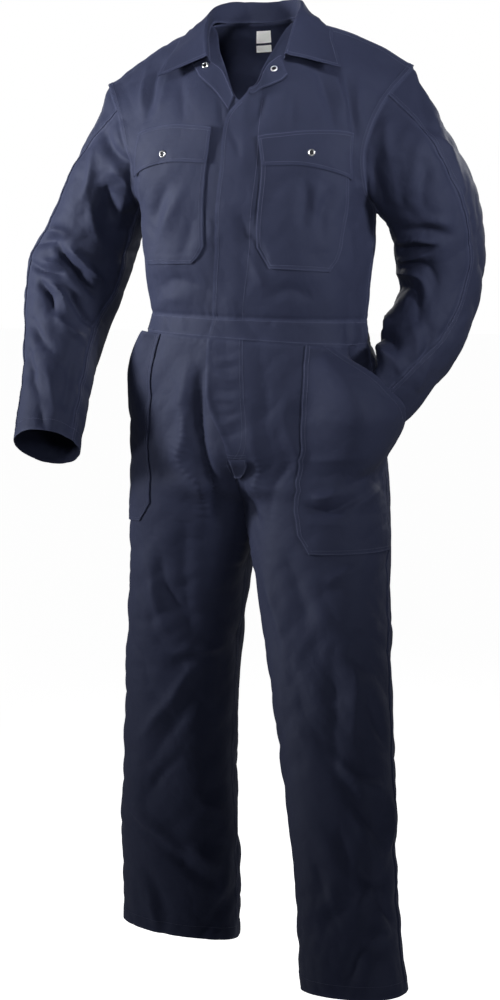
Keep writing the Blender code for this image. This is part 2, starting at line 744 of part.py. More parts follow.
def waistband(grids):
    """The waistband grids, each ruled between the bodice above it and the trousers below."""
    behind = np.concatenate([grids["trouser_back_left"][0], grids["trouser_back_right"][0, 1:]])
    pairs = {
        "waistband_left": (grids["front_left"][-1], grids["trouser_front_left"][0]),
        "waistband_right": (grids["front_right"][-1], grids["trouser_front_right"][0]),
        "waistband_back": (grids["back"][-1], behind),
    }
    share = np.linspace(0, 1, WAIST_ROWS + 1)[:, None, None]
    return {name: top * (1 - share) + foot * share for name, (top, foot) in pairs.items()}


def kept_off(points, ways, panels, least):
    """Points moved along their own ways until they stand off the panels by least, the moves kept even."""
    places = np.concatenate([grid.reshape(-1, 3) for grid, normals in panels])
    normals = np.concatenate([normals.reshape(-1, 3) for grid, normals in panels])
    push = np.zeros(points.shape[:2])
    for k in np.ndindex(push.shape):
        apart = np.linalg.norm(places - points[k], axis=1)
        near = np.argsort(apart)[:3]
        off = ((points[k] - places[near]) * normals[near]).sum(axis=1).mean()
        if apart[near[0]] < REACH:
            push[k] = max(0.0, least - off)
    for step in range(4):
        wide = np.pad(push, 1, mode="edge")
        mean = (wide[1:-1, :-2] + wide[1:-1, 2:] + wide[:-2, 1:-1] + wide[2:, 1:-1]) / 4
        push = np.maximum(push, mean)
    return points + ways * push[..., None]


def panels_of_cloth():
    """Each panel's name with its outer grid and the normals there."""
    places, grids = fronts_and_back()
    leg_places, legs = trousers()
    grids.update(legs)
    grids.update(waistband(grids))
    grids.update(arms(grids))
    normals = {name: normals_of(grid) for name, grid in grids.items()}
    share_normals(grids, normals)
    over = {
        "front_left": places["front_left"],
        "waistband_left": np.repeat(places["front_left"][-1:], WAIST_ROWS + 1, axis=0),
        "trouser_front_left": leg_places["trouser_front_left"],
    }
    for name, place in over.items():
        lift = LAYER * (1 - smooth((place - 0.035) / 0.12))
        if name == "trouser_front_left":
            downs = np.linspace(0, 1, LEG_ROWS + 1)[:, None]
            lift = lift * (1 - smooth((downs - FLY_FOOT) / 0.05))
        grids[name] = grids[name] + normals[name] * lift[..., None]
    made = {}
    for name, grid in grids.items():
        hung = name.startswith("sleeve")
        top = ARMHOLE_TRIM if hung else TRIM
        sides = SLEEVE_TRIM if hung else TRIM
        made[name] = trimmed(grid, top, sides), normals[name]
    return made


def pieces_of_cloth(panels):
    """Every cloth piece's name with its outer and inner grids."""
    made = {name: (grid, grid - normals * CLOTH) for name, (grid, normals) in panels.items()}
    sewn = (
        ("chest_pocket_right", "front_right", POCKET_RIGHT, 12, 9, 1, None),
        ("chest_pocket_left", "front_left", POCKET_LEFT, 12, 9, 1, None),
        ("chest_flap_right", "front_right", FLAP_RIGHT, 12, 4, 2, None),
        ("chest_flap_left", "front_left", FLAP_LEFT, 12, 4, 1.92, None),
        ("hip_pocket_left", "trouser_front_left", HIP_LEFT, 10, 22, 1, left_puff),
        ("hip_pocket_right", "trouser_front_right", HIP_RIGHT, 10, 22, 1, right_puff),
        ("lapel_right", "front_right", LAPEL_RIGHT, 4, 12, 0.94, None),
        ("lapel_left", "front_left", LAPEL_LEFT, 4, 16, 1.54, None),
        ("fly_tongue", "trouser_front_left", TONGUE, 4, 6, 1.72, None),
    )
    for name, panel, table, columns, rows, layers, puff in sewn:
        grid, normals = patch(panels[panel], table, columns, rows, layers, puff)
        made[name] = (grid, grid - normals * CLOTH)
    for name, table in (("label_upper", LABEL_UPPER), ("label_lower", LABEL_LOWER)):
        grid, normals = panels["back"]
        inner = grid - normals * (CLOTH + LABEL_GAP + LABEL)
        sheet, ways = patch((inner, normals), table, 3, len(table) - 1, 0)
        made[name] = (sheet + ways * LABEL, sheet)
    folded = collar()
    body = [panels[name] for name in ("front_left", "front_right", "back")]
    ways = normals_of(folded)
    folded[-4:] = kept_off(folded[-4:], ways[-4:], body, COLLAR_REST)
    made["collar"] = (folded, folded - normals_of(folded) * CLOTH)
    return made


def main():
    for old in list(bpy.data.objects):
        bpy.data.objects.remove(old, do_unlink=True)
    cloth = material("cloth", (0.018, 0.020, 0.036), 0.0, 0.85)
    label = material("label", (0.80, 0.80, 0.78), 0.0, 0.70)
    steel = material("stud", (0.55, 0.55, 0.56), 1.0, 0.35)
    panels = panels_of_cloth()
    for name, (outer, inner) in pieces_of_cloth(panels).items():
        wall(name, outer, inner, label if name.startswith("label") else cloth)
    for name, panel, column, row, layers in STUDS:
        stud(name, panels[panel], column, row, layers, steel)


if __name__ == "__main__":
    main()
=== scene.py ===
"""Boiler suit, worn: the finished cloth, stitching and snaps over the fixed frame.

The file is laid out as an add-on and is run as a script. It works in metres, with +Z up. The wearer faces -Y,
and their left is at +X. Each cloth piece is a smooth version of its panel's surface, with soft folds laid on
it.
"""

import math

import bpy
import numpy as np
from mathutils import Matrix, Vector


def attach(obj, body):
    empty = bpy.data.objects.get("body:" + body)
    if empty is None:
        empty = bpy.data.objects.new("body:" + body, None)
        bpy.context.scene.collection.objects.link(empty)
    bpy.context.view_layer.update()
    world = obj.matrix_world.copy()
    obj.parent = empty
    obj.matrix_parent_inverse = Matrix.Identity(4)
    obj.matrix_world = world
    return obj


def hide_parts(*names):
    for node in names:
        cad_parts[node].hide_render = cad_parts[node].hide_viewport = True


bl_info = {
    "name": "Boiler suit",
    "version": (1, 0, 0),
    "blender": (4, 5, 0),
    "location": "View3D > Sidebar > Boiler suit",
    "description": "Cloth, folds, stitching and snaps of a worn one-piece boiler suit",
    "category": "Add Mesh",
}

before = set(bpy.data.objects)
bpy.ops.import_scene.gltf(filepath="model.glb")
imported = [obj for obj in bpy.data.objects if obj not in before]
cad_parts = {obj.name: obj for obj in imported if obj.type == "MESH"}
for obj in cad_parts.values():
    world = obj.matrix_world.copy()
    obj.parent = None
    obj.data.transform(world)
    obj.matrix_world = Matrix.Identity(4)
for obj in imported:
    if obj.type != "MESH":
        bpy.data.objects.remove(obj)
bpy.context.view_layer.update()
BODY = "root"

# Sizes of the panels, in metres.
CLOTH = 0.0012
SEAM_GAP = 0.0003
LAYER = 0.0027
LABEL = 0.0006
LABEL_OFF = 0.0002
COLLAR_REST = 0.0064
COLLAR_ROLL = 0.0035
REACH = 0.030
LEFT_PUFF = 0.057
RIGHT_PUFF = 0.014
MEETING = 0.0008
ARMHOLE_RISE = 0.05
TURN_AXIS_Y = 0.03
V_LEFT = (0.017, -0.103, -0.084)
V_RIGHT = (0.004, -0.102, -0.104)

# How square the sections of the legs are: at 1 they are oval.
SQUARE = 0.86

# Places on the panels, as shares of their width or length.
ARMHOLE_FOOT = 4 / 6
PLACKET_EDGE = 0.100
PLACKET_TUCK = 0.030
FLY_EDGE = 0.082
FLY_TUCK = 0.030
FLY_STRAIGHT = 0.13
FLY_FOOT = 0.27

# The section of the legs at the fork, from which the inner seams run down.
FORK_SECTION = 5

# Fineness of the first grids that the panels are drawn on.
BODICE_ROWS = 45
FRONT_COLUMNS = 28
LEG_ROWS = 60
LEG_COLUMNS = 28
SLEEVE_ROWS = 39
SLEEVE_OUTER = 6
SLEEVE_UNDER = 27
COLLAR_COLUMNS = 72
WAIST_ROWS = 6
LABEL_STEPS = 12

# The collar's lines from its seam out: up its stand, round its roll, and down its leaf.
STAND_LINES = 5
ROLL_LINES = 7
LEAF_LINES = 8
ROLL_TURN = 135

# Where the left front lies over the right one: its last full place, and how far the lift takes to fade.
OVER_END = 0.035
OVER_FADE = 0.12
FOOT_FADE = 0.05

# Reliefs of the finished cloth beside its seams, in metres.
NEAR_EDGE = (0.0, 0.0015, 0.0032, 0.0060, 0.0085, 0.0115)
LAP_RISE = 0.0007
LAP_WIDTH = 0.0075
HEM_WIDTH = 0.020
SUNK_DEPTH = 0.0012
GATHERED_DEPTH = 0.0011
DIP_PLACE = 0.0035
PUCKER = 0.014
ROUND_OFF = 0.0005
ROUND_WIDTH = 0.0012
STITCH_LIFT = 0.00012

# Finish of the cloth: ribs of its twill per metre, its gloss, and how strongly its weave stands out.
TWILL_RIBS = 900.0
CLOTH_ROUGHNESS = 0.66
CLOTH_GLOSS = 0.14
GLOSS_TINT = (0.72, 0.80, 1.0, 1)
SHEEN_ROUGHNESS = 0.45
SHEEN_TINT = (0.60, 0.66, 0.90, 1)
WEAVE_STRENGTH = 0.5
WEAVE_DEPTH = 0.0014

# A snap's cap turned about its middle: radius and height of each ring of points.
SNAP_PROFILE = (
    (0.00560, -0.0004), (0.00575, 0.0004), (0.00565, 0.0010), (0.00520, 0.0016), (0.00455, 0.0020),
    (0.00390, 0.0019), (0.00345, 0.0014), (0.00310, 0.0008), (0.00240, 0.0006), (0.00120, 0.0007),
)

# How far the top edge of each chest flap is drawn down in its middle, which makes it straight.
FLAP_SAG = {"chest_flap_left": 0.030, "chest_flap_right": 0.020}

# How far the cloth runs past the middle of a seam, so that no light shows through it.
SEAM_CLOSE = 0.0002

# The radius of a snap's dark middle, and how far its foot and its middle lie from the cloth.
SNAP_MIDDLE = 0.0036
SNAP_FOOT = 0.0004
SNAP_CROWN = 0.0008

# The piece that each snap is pressed into.
SNAP_PIECES = {
    "stud_pocket_right": "chest_flap_right",
    "stud_pocket_left": "chest_flap_left",
    "stud_neck_right": "lapel_right",
    "stud_neck_left": "lapel_left",
}

# The finished surfaces, kept from one operator to the next.
FINISHED = {}

# Stage: where the camera aims, how far off it stands and its lens, then floor, surround and lights.
AIM = (-0.003, 0.0, -0.742)
CAMERA_AWAY = 4.0
LENS = 88.2
FLOOR_REACH = 30.0
AMBIENT = 0.06
FLOOR_GLOW = 0.93
LIGHTS = (
    # name, place, aim, size, spread in degrees, energy
    ("key", (-1.85, -0.80, 0.02), (-0.06, 0.0, -0.24), 0.34, 55.0, 7.6),
    ("front", (0.45, -2.15, 0.10), (0.06, 0.0, -0.30), 0.40, 48.0, 1.3),
    ("neck", (0.22, -0.95, 0.80), (0.0, 0.07, -0.05), 0.20, 26.0, 0.34),
    ("side", (1.80, -0.70, 0.10), (0.12, 0.0, -0.20), 0.36, 52.0, 3.0),
    ("low", (-2.05, -1.00, -0.84), (0.05, 0.0, -1.20), 0.30, 84.0, 3.3),
    ("low_right", (1.70, -1.20, -1.00), (0.1, 0.0, -1.38), 0.34, 76.0, 1.0),
    ("back_left", (0.80, 2.30, 0.50), (0.0, 0.0, -0.6), 1.00, 110.0, 10.0),
    ("back_right", (-1.30, 2.10, 0.30), (0.0, 0.0, -0.6), 1.00, 110.0, 7.0),
)

# How far a fold's relief reaches on either side, in half widths.
FOLD_REACH = 2.4

# Small creases: the distance from one to the next, and how deep they are. Each set runs its own way, turned
# from the last by an angle that never repeats.
CREASE_TURN = 2.399963
CREASE_DEPTH = 1.2
CREASES = (
    (0.057, 0.0017), (0.044, 0.0014), (0.071, 0.0019), (0.032, 0.0009), (0.049, 0.0015),
    (0.026, 0.0007), (0.038, 0.0012), (0.062, 0.0017), (0.021, 0.0005), (0.029, 0.0008),
)

# Turn of the body about its upright axis and lift of each shoulder, by height.
STANCE = (
    # z, turn in degrees, lift per metre of x, shift of x
    (0.080, 4.0, 0.050, 0.006),
    (-0.060, 4.0, 0.045, 0.003),
    (-0.180, 4.0, 0.030, 0.001),
    (-0.320, 0.0, 0.000, 0.002),
    (-0.444, -4.0, -0.030, 0.002),
    (-0.475, -4.0, -0.060, 0.002),
    (-0.600, -2.5, -0.010, 0.001),
    (-0.735, 0.0, 0.000, 0.000),
    (-1.600, 0.0, 0.000, 0.000),
)

# Left half of the bodice front: rows of five points, from the front edge out to the armhole or side seam.
FRONT = (
    (
        (0.006, -0.102, -0.084), (0.040, -0.058, -0.030), (0.073, -0.008, 0.024),
        (0.165, 0.012, -0.006), (0.252, 0.028, -0.057),
    ),
    (
        (0.004, -0.120, -0.152), (0.052, -0.108, -0.112), (0.104, -0.078, -0.078),
        (0.160, -0.050, -0.078), (0.216, -0.030, -0.115),
    ),
    (
        (0.002, -0.126, -0.204), (0.056, -0.121, -0.186), (0.110, -0.106, -0.170),
        (0.156, -0.084, -0.168), (0.194, -0.055, -0.182),
    ),
    (
        (0.000, -0.125, -0.256), (0.058, -0.121, -0.248), (0.112, -0.108, -0.240),
        (0.160, -0.078, -0.238), (0.194, -0.030, -0.242),
    ),
    (
        (0.000, -0.121, -0.304), (0.058, -0.118, -0.300), (0.112, -0.104, -0.296),
        (0.164, -0.062, -0.288), (0.197, 0.030, -0.280),
    ),
    (
        (0.000, -0.115, -0.370), (0.058, -0.112, -0.370), (0.112, -0.097, -0.368),
        (0.163, -0.056, -0.366), (0.192, 0.030, -0.364),
    ),
    (
        (0.000, -0.106, -0.444), (0.056, -0.100, -0.444), (0.108, -0.080, -0.444),
        (0.158, -0.041, -0.444), (0.185, 0.030, -0.444),
    ),
)

# Left half of the bodice back: rows of five points, from the middle out to the armhole or side seam.
BACK = (
    (
        (0.000, 0.066, 0.030), (0.043, 0.050, 0.031), (0.073, -0.008, 0.024),
        (0.165, 0.012, -0.006), (0.252, 0.028, -0.057),
    ),
    (
        (0.000, 0.112, -0.045), (0.050, 0.108, -0.045), (0.104, 0.090, -0.052),
        (0.165, 0.080, -0.078), (0.226, 0.078, -0.122),
    ),
    (
        (0.000, 0.142, -0.130), (0.056, 0.139, -0.130), (0.110, 0.130, -0.134),
        (0.160, 0.112, -0.148), (0.207, 0.086, -0.185),
    ),
    (
        (0.000, 0.152, -0.215), (0.058, 0.149, -0.215), (0.112, 0.139, -0.217),
        (0.160, 0.116, -0.226), (0.200, 0.068, -0.244),
    ),
    (
        (0.000, 0.152, -0.290), (0.058, 0.149, -0.290), (0.112, 0.137, -0.290),
        (0.162, 0.108, -0.286), (0.197, 0.030, -0.280),
    ),
    (
        (0.000, 0.148, -0.370), (0.058, 0.145, -0.370), (0.112, 0.133, -0.369),
        (0.160, 0.103, -0.366), (0.192, 0.030, -0.364),
    ),
    (
        (0.000, 0.142, -0.444), (0.058, 0.136, -0.444), (0.110, 0.120, -0.444),
        (0.156, 0.090, -0.444), (0.185, 0.030, -0.444),
    ),
)

# Sections of the left trouser leg: the middle, how far each reaches to its outer and inner side, to the front
# and to the back, the angle at which each half starts at the inner edge, and how much higher the outer side
# lies. The side seam is at 90 degrees. The right leg's table holds the same columns.
LEG_LEFT = (
    # z, x, y, outer, inner, front, back, start of front, start of back, rise of the outer side
    (-0.475, 0.000, 0.030, 0.185, 0.185, 0.136, 0.112, 0, 0, 0.000),
    (-0.530, 0.000, 0.032, 0.202, 0.202, 0.140, 0.122, 0, 0, 0.000),
    (-0.600, 0.000, 0.034, 0.208, 0.208, 0.141, 0.132, 0, 0, 0.000),
    (-0.665, 0.010, 0.033, 0.203, 0.130, 0.138, 0.132, -4, -4, 0.000),
    (-0.710, 0.072, 0.028, 0.147, 0.086, 0.128, 0.128, -56, -56, 0.000),
    (-0.742, 0.104, 0.022, 0.118, 0.102, 0.122, 0.120, -90, -90, 0.000),
    (-0.800, 0.115, 0.006, 0.113, 0.107, 0.112, 0.110, -90, -90, 0.000),
    (-0.900, 0.132, -0.030, 0.105, 0.103, 0.098, 0.096, -90, -90, 0.000),
    (-1.020, 0.161, -0.085, 0.095, 0.093, 0.088, 0.088, -90, -90, 0.000),
    (-1.160, 0.191, -0.150, 0.088, 0.085, 0.080, 0.080, -90, -90, 0.000),
    (-1.310, 0.221, -0.212, 0.080, 0.076, 0.074, 0.076, -90, -90, 0.000),
    (-1.455, 0.246, -0.262, 0.082, 0.078, 0.066, 0.070, -90, -90, -0.004),
)

LEG_RIGHT = (
    (-0.475, 0.000, 0.030, 0.185, 0.185, 0.136, 0.112, 0, 0, 0.000),
    (-0.530, 0.000, 0.032, 0.202, 0.202, 0.140, 0.122, 0, 0, 0.000),
    (-0.600, 0.000, 0.034, 0.209, 0.209, 0.141, 0.132, 0, 0, 0.000),
    (-0.665, 0.010, 0.033, 0.200, 0.130, 0.138, 0.132, -4, -4, 0.000),
    (-0.710, 0.072, 0.031, 0.137, 0.086, 0.128, 0.128, -56, -56, 0.000),
    (-0.742, 0.104, 0.034, 0.106, 0.102, 0.122, 0.120, -90, -90, 0.000),
    (-0.800, 0.109, 0.036, 0.103, 0.102, 0.114, 0.112, -90, -90, 0.000),
    (-0.900, 0.121, 0.040, 0.098, 0.095, 0.100, 0.098, -90, -90, 0.000),
    (-1.020, 0.133, 0.046, 0.096, 0.092, 0.090, 0.090, -90, -90, 0.000),
    (-1.160, 0.140, 0.050, 0.096, 0.092, 0.080, 0.084, -90, -90, 0.002),
    (-1.310, 0.141, 0.052, 0.102, 0.096, 0.072, 0.076, -90, -90, 0.010),
    (-1.490, 0.137, 0.050, 0.104, 0.096, 0.064, 0.070, -90, -90, 0.026),
)

# Sleeve sections below the armhole: the middle, half the width across the arm, half the depth from front to
# back, how far the section leans up on its outer side, and how far it turns about the arm, in degrees.
SLEEVE_LEFT = (
    # x, y, z, width, depth, lean, turn
    (0.2610, 0.050, -0.222, 0.093, 0.084, 40, 0),
    (0.2830, 0.078, -0.290, 0.086, 0.082, 26, 0),
    (0.2900, 0.096, -0.352, 0.072, 0.080, 8, 0),
    (0.2880, 0.090, -0.412, 0.063, 0.074, 0, 4),
    (0.2720, 0.060, -0.478, 0.061, 0.068, 0, 12),
    (0.2500, 0.022, -0.532, 0.044, 0.060, 0, 24),
    (0.2330, -0.010, -0.576, 0.018, 0.050, 0, 32),
    (0.2170, -0.036, -0.602, 0.011, 0.042, 0, 34),
)

SLEEVE_RIGHT = (
    (0.2525, 0.035, -0.2325, 0.082, 0.084, 36, 0),
    (0.2840, 0.030, -0.315, 0.082, 0.083, 20, 0),
    (0.3130, 0.020, -0.385, 0.084, 0.080, 4, 0),
    (0.3190, -0.010, -0.455, 0.069, 0.073, 0, 0),
    (0.3150, -0.060, -0.545, 0.056, 0.065, 0, 0),
    (0.3080, -0.125, -0.652, 0.051, 0.062, 0, 0),
)

# The collar's halves, each from the middle of the back round to its front end: where it is sewn on, where it
# rolls over, and its outer edge. The right half's x is counted to the right.
COLLAR_LEFT = (
    # seam x, y, z, roll x, y, z, edge x, y, z
    (0.000, 0.0655, 0.0304, 0.000, 0.076, 0.065, 0.000, 0.104, 0.018),
    (0.028, 0.0580, 0.0316, 0.029, 0.068, 0.066, 0.046, 0.094, 0.016),
    (0.053, 0.0330, 0.0310, 0.055, 0.040, 0.063, 0.083, 0.062, 0.014),
    (0.068, 0.0000, 0.0290, 0.072, 0.002, 0.051, 0.107, 0.018, 0.006),
    (0.067, -0.0350, 0.0040, 0.071, -0.040, 0.019, 0.136, -0.030, -0.020),
    (0.064, -0.0700, -0.0400, 0.068, -0.078, -0.032, 0.158, -0.077, -0.058),
)

COLLAR_RIGHT = (
    (0.000, 0.0655, 0.0304, 0.000, 0.076, 0.065, 0.000, 0.104, 0.018),
    (0.028, 0.0580, 0.0316, 0.029, 0.068, 0.067, 0.046, 0.094, 0.016),
    (0.053, 0.0330, 0.0310, 0.056, 0.040, 0.065, 0.083, 0.062, 0.014),
    (0.068, 0.0000, 0.0290, 0.073, 0.002, 0.053, 0.107, 0.018, 0.006),
    (0.067, -0.0350, 0.0040, 0.070, -0.040, 0.018, 0.130, -0.030, -0.017),
    (0.055, -0.0690, -0.0360, 0.059, -0.077, -0.027, 0.139, -0.077, -0.055),
)

# Patches sewn on a panel: each row is the column and row of its first end and of its last end on that panel.
POCKET_RIGHT = (
    (0.185, 0.330, 0.782, 0.285), (0.185, 0.440, 0.776, 0.400),
    (0.200, 0.540, 0.782, 0.500), (0.215, 0.640, 0.790, 0.610),
    (0.235, 0.760, 0.796, 0.741), (0.250, 0.792, 0.760, 0.778),
    (0.285, 0.820, 0.713, 0.804),
)

POCKET_LEFT = (
    (0.262, 0.320, 0.870, 0.390), (0.266, 0.420, 0.850, 0.480),
    (0.264, 0.520, 0.826, 0.560), (0.262, 0.630, 0.800, 0.660),
    (0.260, 0.742, 0.775, 0.772), (0.300, 0.780, 0.759, 0.802),
    (0.350, 0.820, 0.722, 0.838),
)

FLAP_RIGHT = (
    (0.175, 0.282, 0.800, 0.212), (0.150, 0.330, 0.796, 0.260),
    (0.125, 0.380, 0.790, 0.310), (0.102, 0.428, 0.778, 0.358),
)

FLAP_LEFT = (
    (0.241, 0.247, 0.889, 0.301), (0.250, 0.290, 0.886, 0.358),
    (0.259, 0.333, 0.883, 0.415), (0.269, 0.377, 0.880, 0.472),
)

HIP_LEFT = (
    (0.468, 0.006, 0.650, 0.006), (0.433, 0.060, 0.745, 0.055),
    (0.408, 0.120, 0.840, 0.108), (0.383, 0.174, 0.925, 0.160),
    (0.336, 0.227, 0.985, 0.212), (0.317, 0.273, 0.985, 0.265),
    (0.400, 0.318, 0.985, 0.318), (0.464, 0.371, 0.985, 0.371),
    (0.496, 0.439, 0.985, 0.439), (0.500, 0.489, 0.985, 0.489),
    (0.496, 0.528, 0.985, 0.528), (0.525, 0.561, 0.985, 0.561),
)

HIP_RIGHT = (
    (0.390, 0.006, 0.542, 0.006), (0.275, 0.060, 0.533, 0.066),
    (0.165, 0.108, 0.520, 0.120), (0.075, 0.160, 0.530, 0.174),
    (0.015, 0.212, 0.540, 0.227), (0.015, 0.265, 0.520, 0.273),
    (0.015, 0.318, 0.465, 0.318), (0.015, 0.371, 0.410, 0.371),
    (0.015, 0.420, 0.388, 0.420), (0.015, 0.458, 0.383, 0.458),
    (0.015, 0.490, 0.350, 0.486), (0.015, 0.520, 0.310, 0.512),
)

LAPEL_RIGHT = (
    (0.490, 0.098, 0.570, 0.054), (0.608, 0.111, 0.672, 0.050),
    (0.725, 0.102, 0.790, 0.020), (0.842, 0.095, 0.895, 0.006),
    (0.890, 0.095, 0.930, 0.006),
)

LAPEL_LEFT = (
    (0.018, 0.006, 0.042, 0.028), (0.120, 0.006, 0.150, 0.054),
    (0.230, 0.026, 0.295, 0.104), (0.330, 0.044, 0.395, 0.126),
    (0.372, 0.054, 0.434, 0.124),
)

TONGUE = (
    (0.006, 0.272, 0.080, 0.272), (0.006, 0.292, 0.090, 0.292),
    (0.014, 0.312, 0.086, 0.312), (0.030, 0.326, 0.070, 0.326),
)

LABEL_UPPER = (
    (0.481, 0.024, 0.545, 0.024), (0.483, 0.044, 0.548, 0.044), (0.484, 0.064, 0.551, 0.064),
)

LABEL_LOWER = (
    (0.486, 0.073, 0.552, 0.073), (0.488, 0.097, 0.554, 0.097),
)

# Each snap's place on the panel beneath it.
STUDS = (
    # name, panel, column, row
    ("stud_pocket_right", "front_right", 0.444, 0.361),
    ("stud_pocket_left", "front_left", 0.583, 0.375),
    ("stud_neck_right", "front_right", 0.639, 0.074),
    ("stud_neck_left", "front_left", 0.324, 0.069),
)


